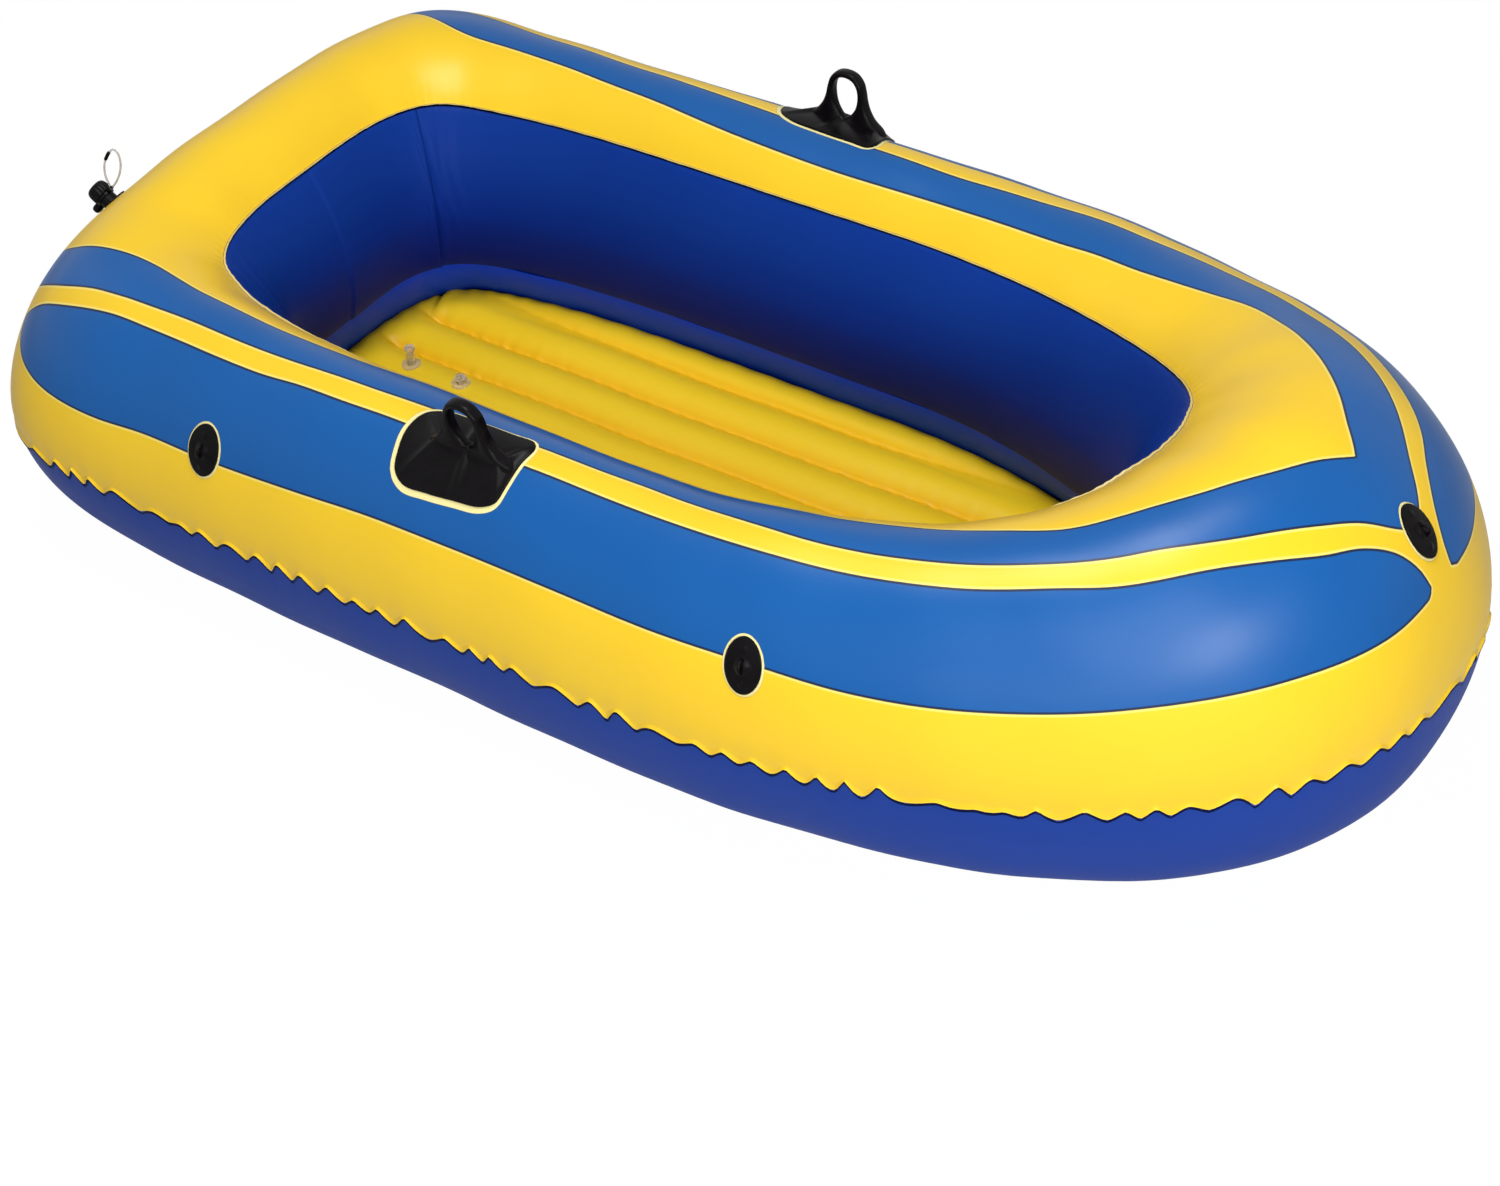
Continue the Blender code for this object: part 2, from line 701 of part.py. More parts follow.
def oarlock(label, side):
    share = share_at_x(OARLOCK_X)
    reach = pad_outline(
        OARLOCK_PAD_LENGTH / 2, OARLOCK_PAD_WIDTH / 2, OARLOCK_PAD_POWER, OARLOCK_PAD_WAIST_SHARE
    )
    pad("oarlock_pad_" + label, share, side, OARLOCK_ANGLE, reach, OARLOCK_PAD_THICKNESS, 10)
    mesh = flat_solid("oarlock_loop_" + label, loop_outline(), OARLOCK_LOOP_THICKNESS)
    loop = new_object("oarlock_loop_" + label, mesh, BLACK)
    spot, _, _, _ = hull_frame(np.float64(share), side, OARLOCK_ANGLE)
    lean = Matrix.Rotation(math.radians(90.0 - side * OARLOCK_LEAN_ANGLE), 4, "X")
    loop.matrix_world = Matrix.Translation(Vector(spot)) @ lean
    broad = pad_outline(
        OARLOCK_FOOT_WIDTH / 2 + CUTTER_MARGIN,
        OARLOCK_LOOP_THICKNESS / 2 + CUTTER_MARGIN,
        OARLOCK_PAD_POWER,
        0.0,
    )
    top = GAP + OARLOCK_PAD_THICKNESS + GAP
    mesh = pad_mesh("under_" + label, share, side, OARLOCK_ANGLE, broad, top, 8)
    under = cutter_object("under_loop_" + label, mesh)
    add_film(under, CUTTER_DEPTH)
    cut(loop, under)


oarlock("starboard", -1.0)
oarlock("port", 1.0)


# Rope eyelets

def eyelet(label, share, side, angle):
    reach = pad_outline(EYELET_PAD_WIDTH / 2, EYELET_PAD_HEIGHT / 2, 2.0, 0.0)
    pad("eyelet_pad_" + label, share, side, angle, reach, EYELET_PAD_THICKNESS, 6)
    profile = [
        (0.0, EYE_HEIGHT),
        (EYE_POST_RADIUS - EYE_CHAMFER, EYE_HEIGHT),
        (EYE_POST_RADIUS, EYE_HEIGHT - EYE_CHAMFER),
        (EYE_POST_RADIUS, EYE_FOOT_THICKNESS),
        (EYE_FOOT_RADIUS, EYE_FOOT_THICKNESS),
        (EYE_FOOT_RADIUS, 0.0),
        (0.0, 0.0),
    ]
    eye = turned("eyelet_eye_" + label, profile, 16, BLACK)
    stand = 3 * GAP + EYELET_PAD_THICKNESS
    placed(eye, share, side, angle, stand)
    hole = round_cutter(
        "eye_hole_" + label, EYE_HOLE_RADIUS, 2 * (EYE_FOOT_RADIUS + OVERRUN), 12)
    centre = EYE_HEIGHT - EYE_HOLE_ROOF - EYE_HOLE_RADIUS
    hole.matrix_world = (
        eye.matrix_world
        @ Matrix.Translation((0.0, 0.0, centre))
        @ Matrix.Rotation(math.pi / 2, 4, "Y")
    )
    cut(eye, hole)


for side_name, side_sign in (("starboard", -1.0), ("port", 1.0)):
    eyelet("fore_" + side_name, share_at_x(EYELET_FORE_X), side_sign, EYELET_SIDE_ANGLE)
    eyelet("aft_" + side_name, share_at_x(EYELET_AFT_X), side_sign, EYELET_SIDE_ANGLE)
eyelet("bow", 1.0, 1.0, EYELET_BOW_ANGLE)
eyelet("stern", 0.0, 1.0, EYELET_STERN_ANGLE)


# Stern inflation valve: flange, body with a neck, collar with a lobe, cap, tether and bead

VALVE_SHARE = VALVE_OFFSET / HALF_TRAVEL
VALVE_SIDE = -1.0


def stern_valve():
    reach = pad_outline(VALVE_FLANGE_RADIUS, VALVE_FLANGE_RADIUS, 2.0, 0.0)
    pad("stern_valve_flange", VALVE_SHARE, VALVE_SIDE, VALVE_ANGLE, reach,
        VALVE_FLANGE_THICKNESS, 6)
    foot = VALVE_FLANGE_THICKNESS + 3 * GAP
    neck_top = VALVE_BODY_HEIGHT + VALVE_NECK_HEIGHT
    profile = [
        (VALVE_BORE_RADIUS, neck_top),
        (VALVE_NECK_RADIUS, neck_top),
        (VALVE_NECK_RADIUS, COLLAR_HEIGHT - GAP),
        (VALVE_BODY_RADIUS, COLLAR_HEIGHT - GAP),
        (VALVE_BODY_RADIUS, 0.0),
        (VALVE_BORE_RADIUS, 0.0),
    ]
    body = turned("stern_valve_body", profile, ROUND_SIDES, BLACK)
    placed(body, VALVE_SHARE, VALVE_SIDE, VALVE_ANGLE, foot)

    collar_bore = VALVE_NECK_RADIUS + COLLAR_CLEARANCE
    outline = collar_outline()
    bore = [
        (collar_bore * math.cos(t), collar_bore * math.sin(t))
        for t in np.linspace(0.0, math.tau, 20, endpoint=False)
    ]
    mesh = flat_solid("stern_valve_collar", [outline, bore], COLLAR_THICKNESS)
    collar = new_object("stern_valve_collar", mesh, BLACK)
    placed(collar, VALVE_SHARE, VALVE_SIDE, VALVE_ANGLE,
           foot + COLLAR_HEIGHT + COLLAR_THICKNESS / 2)

    cap_base = COLLAR_HEIGHT + COLLAR_THICKNESS + GAP
    hollow = neck_top + GAP
    cap_top = cap_base + VALVE_CAP_THICKNESS
    ribs = []
    for k in range(2 * VALVE_CAP_RIBS):
        turn = math.pi * k / VALVE_CAP_RIBS
        radius = VALVE_CAP_RADIUS - (VALVE_RIB_DEPTH if k % 2 else 0.0)
        ribs.append((radius * math.cos(turn), radius * math.sin(turn)))
    thickness = max(cap_top, hollow + VALVE_CAP_WALL) - cap_base
    mesh = flat_solid("stern_valve_cap", [ribs], thickness)
    for vert in mesh.vertices:
        vert.co.z += thickness / 2
    cap = new_object("stern_valve_cap", mesh, BLACK)
    placed(cap, VALVE_SHARE, VALVE_SIDE, VALVE_ANGLE, foot + cap_base)
    depth = hollow - cap_base
    socket = round_cutter("cap_socket", VALVE_NECK_RADIUS + COLLAR_CLEARANCE, 2 * depth,
                          ROUND_SIDES)
    socket.matrix_world = cap.matrix_world
    cut(cap, socket)
    return collar


def collar_outline():
    """A disc with a round finger lobe below and a small ear above."""
    points = []
    lobe_turn = math.asin(LOBE_RADIUS / LOBE_REACH)
    ear_turn = math.asin(EAR_RADIUS / EAR_REACH)
    low, high = -math.pi / 2, math.pi / 2
    for start, end in ((low + lobe_turn, high - ear_turn), (high + ear_turn, low + math.tau - lobe_turn)):
        for t in np.linspace(start, end, 10):
            points.append((COLLAR_RADIUS * math.cos(t), COLLAR_RADIUS * math.sin(t)))
        reach, radius = (EAR_REACH, EAR_RADIUS) if start < high else (-LOBE_REACH, LOBE_RADIUS)
        first = 0.0 if start < high else math.pi
        for t in np.linspace(first, first + math.pi, 9):
            points.append((radius * math.cos(t), reach + radius * math.sin(t)))
    return points


def tether_point(foot_spot, across, share):
    gap_turn = math.acos(TETHER_FOOT_SPREAD / TETHER_WIDTH)
    turn = -gap_turn + (math.pi + 2 * gap_turn) * share
    height = TETHER_HEIGHT / 2 * (1.0 + math.sin(turn))
    return foot_spot + across * (TETHER_WIDTH / 2 * math.cos(turn)) + Vector((0.0, 0.0, height))


def stern_tether(collar):
    above = COLLAR_THICKNESS / 2 + TETHER_RADIUS + GAP
    foot_spot = collar.matrix_world @ Vector((0.0, EAR_REACH + TETHER_FOOT_SHIFT, above))
    across = collar.matrix_world.to_3x3() @ Vector((1.0, 0.0, 0.0))
    points = [
        tether_point(foot_spot, across, k / (TETHER_POINTS - 1)) for k in range(TETHER_POINTS)
    ]
    curve = bpy.data.curves.new("stern_valve_tether", "CURVE")
    curve.dimensions = "3D"
    curve.bevel_depth = TETHER_RADIUS
    curve.bevel_resolution = 2
    curve.use_fill_caps = True
    spline = curve.splines.new("POLY")
    spline.points.add(len(points) - 1)
    for point, spot in zip(spline.points, points):
        point.co = (*spot, 1.0)
    source = bpy.data.objects.new("tether_curve", curve)
    PARTS.objects.link(source)
    bpy.context.view_layer.update()
    ready = source.evaluated_get(bpy.context.evaluated_depsgraph_get())
    mesh = bpy.data.meshes.new_from_object(ready)
    bm = bmesh.new()
    bm.from_mesh(mesh)
    bmesh.ops.remove_doubles(bm, verts=bm.verts, dist=WELD_DISTANCE)
    bmesh.ops.recalc_face_normals(bm, faces=bm.faces)
    bm.to_mesh(mesh)
    bm.free()
    bpy.data.objects.remove(source, do_unlink=True)
    new_object("stern_valve_tether", mesh, CLEAR, 0.1, 0.5)

    bead_centre = round(TETHER_BEAD_SHARE * (TETHER_POINTS - 1))
    spot, ahead = points[bead_centre], points[bead_centre + 1]
    bore = TETHER_RADIUS + 2 * GAP
    half = TETHER_BEAD_LENGTH / 2
    profile = [
        (bore, half),
        (TETHER_BEAD_RADIUS, half),
        (TETHER_BEAD_RADIUS, -half),
        (bore, -half),
    ]
    bead = turned("stern_valve_bead", profile, 12, BLACK)
    way = (ahead - spot).normalized().to_track_quat("Z", "Y")
    bead.matrix_world = Matrix.Translation((spot + ahead) / 2) @ way.to_matrix().to_4x4()


stern_tether(stern_valve())


# Floor valves: flange on the top sheet, a stem that pushes in, and its plug

def floor_valve(label, x, pushed_in):
    crown = floor_height(x, FLOOR_VALVE_Y, True)
    hole_radius = STEM_RADIUS + STEM_CLEARANCE
    profile = [
        (hole_radius, FLOOR_FLANGE_THICKNESS),
        (FLOOR_FLANGE_RADIUS, FLOOR_FLANGE_THICKNESS),
        (FLOOR_FLANGE_RADIUS, 0.0),
        (hole_radius, 0.0),
    ]
    flange = turned("floor_valve_flange_" + label, profile, VALVE_SIDES, CLEAR, 0.1, 0.5)
    applied(flange)
    for vert in flange.data.vertices:
        sheet = floor_height(x + vert.co.x, FLOOR_VALVE_Y + vert.co.y, True)
        vert.co.z += sheet - crown
    flange.matrix_world = Matrix.Translation((x, FLOOR_VALVE_Y, crown + 3 * GAP))

    hole = round_cutter("floor_hole_" + label, hole_radius, 2 * OVERRUN, VALVE_SIDES)
    hole.matrix_world = Matrix.Translation((x, FLOOR_VALVE_Y, crown))
    cut(floor_top, hole)

    top = crown + STEM_STAND - (STEM_STROKE if pushed_in else 0.0)
    profile = [
        (STEM_BORE_RADIUS, 0.0),
        (STEM_RADIUS, 0.0),
        (STEM_RADIUS, -STEM_LENGTH),
        (STEM_BORE_RADIUS, -STEM_LENGTH),
    ]
    stem = turned("floor_valve_stem_" + label, profile, VALVE_SIDES, CLEAR, 0.1, 0.5)
    stem.matrix_world = Matrix.Translation((x, FLOOR_VALVE_Y, top))

    shaft = STEM_BORE_RADIUS - PLUG_SHAFT_CLEARANCE
    profile = [
        (0.0, GAP + PLUG_HEAD_THICKNESS),
        (PLUG_HEAD_RADIUS, GAP + PLUG_HEAD_THICKNESS),
        (PLUG_HEAD_RADIUS, GAP),
        (shaft, GAP),
        (shaft, -PLUG_SHAFT_LENGTH),
        (0.0, -PLUG_SHAFT_LENGTH),
    ]
    plug = turned("floor_valve_plug_" + label, profile, VALVE_SIDES, CLEAR, 0.1, 0.5)
    plug.matrix_world = Matrix.Translation((x, FLOOR_VALVE_Y, top))


floor_valve("aft", FLOOR_VALVE_AFT_X, False)
floor_valve("fore", FLOOR_VALVE_FORE_X, True)
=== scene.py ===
import math

import bmesh
import bpy
import numpy as np
from mathutils import Matrix, Vector


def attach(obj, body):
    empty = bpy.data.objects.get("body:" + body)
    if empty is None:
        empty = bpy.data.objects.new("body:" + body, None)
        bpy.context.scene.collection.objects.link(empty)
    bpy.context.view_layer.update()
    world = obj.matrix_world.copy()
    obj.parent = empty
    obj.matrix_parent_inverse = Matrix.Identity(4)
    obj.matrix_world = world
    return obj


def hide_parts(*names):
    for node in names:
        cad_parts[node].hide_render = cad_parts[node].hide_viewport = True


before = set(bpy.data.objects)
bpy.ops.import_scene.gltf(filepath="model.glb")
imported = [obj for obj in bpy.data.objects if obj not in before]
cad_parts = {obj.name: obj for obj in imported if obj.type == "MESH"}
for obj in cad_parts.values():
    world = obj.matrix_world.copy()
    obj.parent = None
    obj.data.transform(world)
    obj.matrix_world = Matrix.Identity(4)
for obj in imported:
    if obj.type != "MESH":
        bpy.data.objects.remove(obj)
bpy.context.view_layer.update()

scene = bpy.context.scene
scene.view_settings.view_transform = "Standard"

# ---------------------------------------------------------------- camera

IMAGE_WIDTH, IMAGE_HEIGHT = 1500, 1186
FOCAL_PIXELS = 3109.896
CENTRE_X, CENTRE_Y = 761.954, 448.666
SENSOR_WIDTH = 36.0
LENGTH = 1.850
VIEW_AZIMUTH, VIEW_ELEVATION, VIEW_ROLL = 36.049, 38.235, -3.671
VIEW_DISTANCE, VIEW_HEIGHT = 2.09 * LENGTH, 0.1 * LENGTH


def make_camera():
    az, el, roll = (math.radians(v) for v in (VIEW_AZIMUTH, VIEW_ELEVATION, VIEW_ROLL))
    way = Vector((math.sin(az) * math.cos(el), -math.cos(az) * math.cos(el), math.sin(el)))
    place = way * VIEW_DISTANCE + Vector((0.0, 0.0, VIEW_HEIGHT))
    ahead = -way
    level = ahead.cross(Vector((0, 0, 1))).normalized()
    upright = level.cross(ahead)
    right = level * math.cos(roll) + upright * math.sin(roll)
    up = -level * math.sin(roll) + upright * math.cos(roll)
    data = bpy.data.cameras.new("photo_camera")
    data.sensor_width = SENSOR_WIDTH
    data.lens = FOCAL_PIXELS / IMAGE_WIDTH * SENSOR_WIDTH
    data.shift_x = (IMAGE_WIDTH / 2 - CENTRE_X) / IMAGE_WIDTH
    data.shift_y = (CENTRE_Y - IMAGE_HEIGHT / 2) / IMAGE_WIDTH
    data.clip_start = 0.1
    camera = bpy.data.objects.new("photo_camera", data)
    turn = Matrix((right, up, way)).transposed().to_4x4()
    turn.translation = place
    camera.matrix_world = turn
    scene.collection.objects.link(camera)
    scene.camera = camera


make_camera()

# ---------------------------------------------------------------- tube surface

BEAM = 0.974
BOW_START_X, STERN_START_X = 0.074, 0.610
BOW_POWER, STERN_POWER = 2.178, 4.124
SIDE_TUBE_WIDTH, BOW_TUBE_WIDTH, STERN_TUBE_WIDTH = 0.258, 0.435, 0.266
WELL_BOW_START_X, WELL_STERN_START_X = 0.013, 0.135
WELL_BOW_POWER, WELL_STERN_POWER = 2.03, 4.05
SIDE_TUBE_HEIGHT, BOW_TUBE_HEIGHT, STERN_TUBE_HEIGHT = 0.410, 0.5035, 0.414
STERN_LIFT, LIFT_POWER = 0.0167, 3.0
CROWN_POWER, UPPER_POWER, LOWER_POWER = 2.0, 1.615, 1.964
KEEL_POWER, BOW_KEEL_POWER_RISE = 2.0, 1.14
OUTER_SEAM, INNER_SEAM, WALL_FOOT = -5.5, 130.6, 203.7
FINE_STEPS, WELL_STEPS, SHARE_STEPS = 2400, 3000, 801


def quarter_outline(reach, half_width, power):
    """A quarter of a rounded plan, from its widest place to its tip."""
    turn = np.linspace(math.pi / 2, 0.0, FINE_STEPS)
    return (reach * np.abs(np.cos(turn)) ** (2 / power),
            half_width * np.abs(np.sin(turn)) ** (2 / power))


def half_outline(bow_start, bow_tip, stern_start, stern_tip, bow_power, stern_power, half_width):
    """The port half of a plan from stern to bow, and the metres travelled to each place."""
    back_x, back_y = quarter_outline(stern_tip - stern_start, half_width, stern_power)
    front_x, front_y = quarter_outline(bow_tip - bow_start, half_width, bow_power)
    along = np.concatenate([-stern_start - back_x[::-1], bow_start + front_x])
    across = np.concatenate([back_y[::-1], front_y])
    steps = np.hypot(np.diff(along), np.diff(across))
    return np.stack([along, across], 1), np.concatenate([[0.0], np.cumsum(steps)])


def along_path(spots, travel, path):
    """A path's places at the given travels along it."""
    return np.stack([np.interp(spots, travel, path[:, k]) for k in (0, 1)], -1)


def nearest_on(path, points):
    """The nearest place on a path to each point."""
    start, leg = path[:-1], np.diff(path, axis=0)
    size = np.maximum((leg**2).sum(1), 1e-18)
    spots = np.empty_like(points)
    for k in range(0, len(points), 256):
        part = points[k:k + 256]
        away = part[:, None, :] - start[None]
        along = np.clip((away * leg[None]).sum(2) / size[None], 0.0, 1.0)
        near = start[None] + leg[None] * along[:, :, None]
        best = np.argmin(((part[:, None, :] - near) ** 2).sum(2), 1)
        spots[k:k + 256] = near[np.arange(len(part)), best]
    return spots


outer_raw, outer_travel = half_outline(
    BOW_START_X, LENGTH / 2, STERN_START_X, LENGTH / 2, BOW_POWER, STERN_POWER, BEAM / 2)
well_raw, well_travel = half_outline(
    WELL_BOW_START_X, LENGTH / 2 - BOW_TUBE_WIDTH, WELL_STERN_START_X,
    LENGTH / 2 - STERN_TUBE_WIDTH, WELL_BOW_POWER, WELL_STERN_POWER, BEAM / 2 - SIDE_TUBE_WIDTH)
HALF_TRAVEL = outer_travel[-1]
SHARES = np.linspace(0.0, 1.0, SHARE_STEPS)
OUTER = along_path(SHARES * HALF_TRAVEL, outer_travel, outer_raw)
WELL = nearest_on(
    along_path(np.linspace(0, well_travel[-1], WELL_STEPS), well_travel, well_raw), OUTER)


def signed_power(value, power):
    return np.sign(value) * np.abs(value) ** power


def tube_point(ring, angle):
    """Points on the tube. ring runs 0 to 1 from the stern up the port side, round the bow
    and back; angle is in degrees round the section, from the outer edge up."""
    ring = np.mod(np.asarray(ring, float), 1.0)
    angle = np.asarray(angle, float)
    ring, angle = np.broadcast_arrays(ring, angle)
    side = np.where(ring < 0.5, 1.0, -1.0)
    share = np.where(ring < 0.5, 2.0 * ring, 2.0 - 2.0 * ring)
    outer, well = along_path(share, SHARES, OUTER), along_path(share, SHARES, WELL)
    width = outer - well
    fore = width[..., 0] / np.linalg.norm(width, axis=-1)
    end_height = np.where(fore > 0.0, BOW_TUBE_HEIGHT, STERN_TUBE_HEIGHT)
    half_height = (SIDE_TUBE_HEIGHT + (end_height - SIDE_TUBE_HEIGHT) * fore**2) / 2
    reach = np.clip(-outer[..., 0] / (LENGTH / 2), 0.0, 1.0)
    turn = np.radians(angle)
    low = np.sin(turn) < 0.0
    keel = KEEL_POWER + BOW_KEEL_POWER_RISE * np.where(fore > 0.0, fore**2, 0.0)
    across = signed_power(np.cos(turn), 2 / np.where(low, keel, CROWN_POWER))
    up = signed_power(np.sin(turn), 2 / np.where(low, LOWER_POWER, UPPER_POWER))
    plan = (outer + well) / 2 + width / 2 * across[..., None]
    height = half_height * (1.0 + up) + STERN_LIFT * reach**LIFT_POWER
    return np.stack([plan[..., 0], plan[..., 1] * side, height], -1)


def unit(vectors):
    return vectors / np.maximum(np.linalg.norm(vectors, axis=-1, keepdims=True), 1e-12)


RING_PROBE, ANGLE_PROBE = 0.002, 0.6


def tube_frame(ring, angle):
    """Point, outward normal, unit vector along the boat's ring, unit vector round the
    section, and metres per degree of section angle."""
    angle = np.asarray(angle)
    along = tube_point(ring + RING_PROBE, angle) - tube_point(ring - RING_PROBE, angle)
    upward = tube_point(ring, angle + ANGLE_PROBE) - tube_point(ring, angle - ANGLE_PROBE)
    speed = np.linalg.norm(upward, axis=-1) / (2 * ANGLE_PROBE)
    return tube_point(ring, angle), unit(np.cross(upward, along)), unit(along), unit(upward), speed


def port(share):
    """The ring's place at a share of the way from the stern to the bow, up the port side."""
    return np.asarray(share, float) / 2


def starboard(share):
    return 1.0 - np.asarray(share, float) / 2


def ring_noise(ring, counts, seed):
    """A smooth wander round the boat, built from a few whole waves, between -1 and 1."""
    rng = np.random.default_rng(seed)
    total = np.zeros_like(np.asarray(ring, float))
    for count in counts:
        total = total + np.sin(math.tau * (count * ring + rng.random())) * rng.uniform(0.6, 1.0)
    return total / len(counts)


# ---------------------------------------------------------------- mesh helpers

def bent_grid(name, columns, rows, points, close_columns):
    """A created grid whose vertices move to points[column, row]; closed if its ends meet."""
    bm = bmesh.new()
    bmesh.ops.create_grid(bm, x_segments=columns, y_segments=rows, size=1.0)
    mesh = bpy.data.meshes.new(name)
    bm.to_mesh(mesh)
    bm.free()
    flat = np.empty(len(mesh.vertices) * 3)
    mesh.vertices.foreach_get("co", flat)
    flat = flat.reshape(-1, 3)
    i = np.rint((flat[:, 0] + 1) / 2 * columns).astype(int)
    j = np.rint((flat[:, 1] + 1) / 2 * rows).astype(int)
    if close_columns:
        i = i % len(points)
    mesh.vertices.foreach_set("co", points[i, j].astype(np.float32).ravel())
    mesh.update()
    return mesh, i, j


def store(mesh, name, values):
    layer = mesh.attributes.new(name, "FLOAT", "POINT")
    layer.data.foreach_set("value", np.asarray(values, np.float32))


FILM_MERGE, FLOOR_MERGE, SKIN_MERGE = 0.00001, 0.00005, 0.000001


def merge_doubles(mesh, distance, turn_out=True, other=None):
    """Merge the points that meet, another mesh's too, and turn the faces outwards."""
    bm = bmesh.new()
    bm.from_mesh(mesh)
    if other:
        bm.from_mesh(other)
    bmesh.ops.remove_doubles(bm, verts=bm.verts, dist=distance)
    if turn_out:
        bmesh.ops.recalc_face_normals(bm, faces=bm.faces)
    bm.to_mesh(mesh)
    bm.free()


def face_towards(mesh, spot, outward):
    """Turn the whole mesh round if its face nearest the spot looks the wrong way."""
    centres = np.empty(len(mesh.polygons) * 3)
    mesh.polygons.foreach_get("center", centres)
    k = int(np.argmin(((centres.reshape(-1, 3) - np.asarray(spot)) ** 2).sum(1)))
    if mesh.polygons[k].normal.dot(Vector(outward)) < 0.0:
        mesh.flip_normals()


def piece(name, mesh, finish, body="boat", smooth=True):
    """A finished piece, with its material slot's name and the body that it rides on."""
    made = bpy.data.objects.new(name, mesh)
    scene.collection.objects.link(made)
    mesh.materials.clear()
    mesh.materials.append(finish)
    if smooth:
        mesh.shade_smooth()
    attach(made, body)
    return made


# ---------------------------------------------------------------- finishes

def new_finish(name):
    made = bpy.data.materials.new(name)
    made.use_nodes = True
    return made, made.node_tree, made.node_tree.nodes["Principled BSDF"]


def feed(tree, socket, value):
    """Join a socket to another one's value, or set it to a number or a colour."""
    if isinstance(value, bpy.types.NodeSocket):
        tree.links.new(value, socket)
    elif isinstance(value, tuple):
        socket.default_value = (*value, 1.0)
    else:
        socket.default_value = value


def attribute(tree, name):
    node = tree.nodes.new("ShaderNodeAttribute")
    node.attribute_name = name
    return node.outputs["Fac"]


def noise(tree, scale, detail):
    coords = tree.nodes.new("ShaderNodeTexCoord")
    texture = tree.nodes.new("ShaderNodeTexNoise")
    texture.inputs["Scale"].default_value = scale
    texture.inputs["Detail"].default_value = detail
    tree.links.new(coords.outputs["Object"], texture.inputs["Vector"])
    return texture.outputs["Fac"]


def remap(tree, value, low, high, to_low=0.0, to_high=1.0):
    node = tree.nodes.new("ShaderNodeMapRange")
    node.inputs["From Min"].default_value = low
    node.inputs["From Max"].default_value = high
    node.inputs["To Min"].default_value = to_low
    node.inputs["To Max"].default_value = to_high
    tree.links.new(value, node.inputs["Value"])
    return node.outputs["Result"]


def arithmetic(tree, operation, *values):
    node = tree.nodes.new("ShaderNodeMath")
    node.operation = operation
    for socket, value in zip(node.inputs, values):
        feed(tree, socket, value)
    return node.outputs["Value"]


def mix_colour(tree, factor, a, b):
    node = tree.nodes.new("ShaderNodeMix")
    node.data_type = "RGBA"
    for socket, value in ((node.inputs[0], factor), (node.inputs[6], a), (node.inputs[7], b)):
        feed(tree, socket, value)
    return node.outputs[2]


def bump(tree, shader, heights, strength, distance):
    node = tree.nodes.new("ShaderNodeBump")
    node.inputs["Strength"].default_value = strength
    node.inputs["Distance"].default_value = distance
    tree.links.new(heights, node.inputs["Height"])
    tree.links.new(node.outputs["Normal"], shader.inputs["Normal"])


SOFT_PLASTIC_IOR = 1.45
CLOUD_LOW, CLOUD_HIGH = 0.3, 0.7


def film_surface(tree, shader, roughness, gloss):
    """What all the vinyl films share: a soft sheen, a slight ripple and a faint cloudiness,
    which is given back for the film's colour to follow."""
    cloud = noise(tree, 5.0, 3.0)
    rough = remap(tree, cloud, CLOUD_LOW, CLOUD_HIGH, roughness - 0.04, roughness + 0.05)
    tree.links.new(rough, shader.inputs["Roughness"])
    shader.inputs["IOR"].default_value = SOFT_PLASTIC_IOR
    shader.inputs["Specular IOR Level"].default_value = gloss
    bump(tree, shader, noise(tree, 26.0, 2.0), 0.05, 0.004)
    return remap(tree, cloud, CLOUD_LOW, CLOUD_HIGH)


YELLOW, YELLOW_DEEP = (0.955, 0.625, 0.024), (0.940, 0.600, 0.020)
# pale colour of the bands' printed edges, also used as a painted highlight along the weld's free
# edge
PALE_PRINT_AND_HIGHLIGHT = (0.960, 0.760, 0.170)
FITTING_HALO = (0.950, 0.850, 0.380)
# painted shade for the lip's root and painted highlight for the lip along the well's rim
LIP_SHADE, LIP_PAINTED_HIGHLIGHT = (0.16, 0.15, 0.12), (0.74, 0.60, 0.21)
FLOOR_YELLOW, FLOOR_YELLOW_DEEP = (0.990, 0.672, 0.020), (0.980, 0.648, 0.016)
# painted shade for the floor's creases
FLOOR_CREASE_PAINTED_SHADE = (0.900, 0.480, 0.004)
PRINT_BLUE, PRINT_BLUE_DEEP = (0.003, 0.100, 0.362), (0.002, 0.092, 0.340)
LINE_BLUE = (0.004, 0.014, 0.055)
LOWER_BLUE, LOWER_DEEP = (0.015, 0.054, 0.325), (0.013, 0.049, 0.300)
# dark weld edge: the joint of two films, and a painted shadow under the top film's flange
WELD_NAVY_AND_SHADOW = (0.002, 0.006, 0.045)
# painted light: a brighter blue for the lower film's shaded foot inside the well
WELL_FOOT_PAINTED_LIGHT = (0.0010, 0.050, 0.850)
WALL_BLUE, WALL_DEEP = (0.006, 0.040, 0.290), (0.005, 0.035, 0.268)
# painted shade towards the wall's foot
WALL_FOOT_PAINTED_SHADE = (0.0002, 0.0050, 0.200)
# painted shadow under the rim; the lap line is the seam's own dark joint
WALL_RIM_PAINTED_SHADOW, LAP_LINE = (0.001, 0.004, 0.022), (0.001, 0.003, 0.016)
BOTTOM_BLUE, BOTTOM_DEEP = (0.025, 0.050, 0.300), (0.020, 0.040, 0.260)
BLACK, BLACK_WORN = (0.0022, 0.0018, 0.0022), (0.005, 0.004, 0.005)


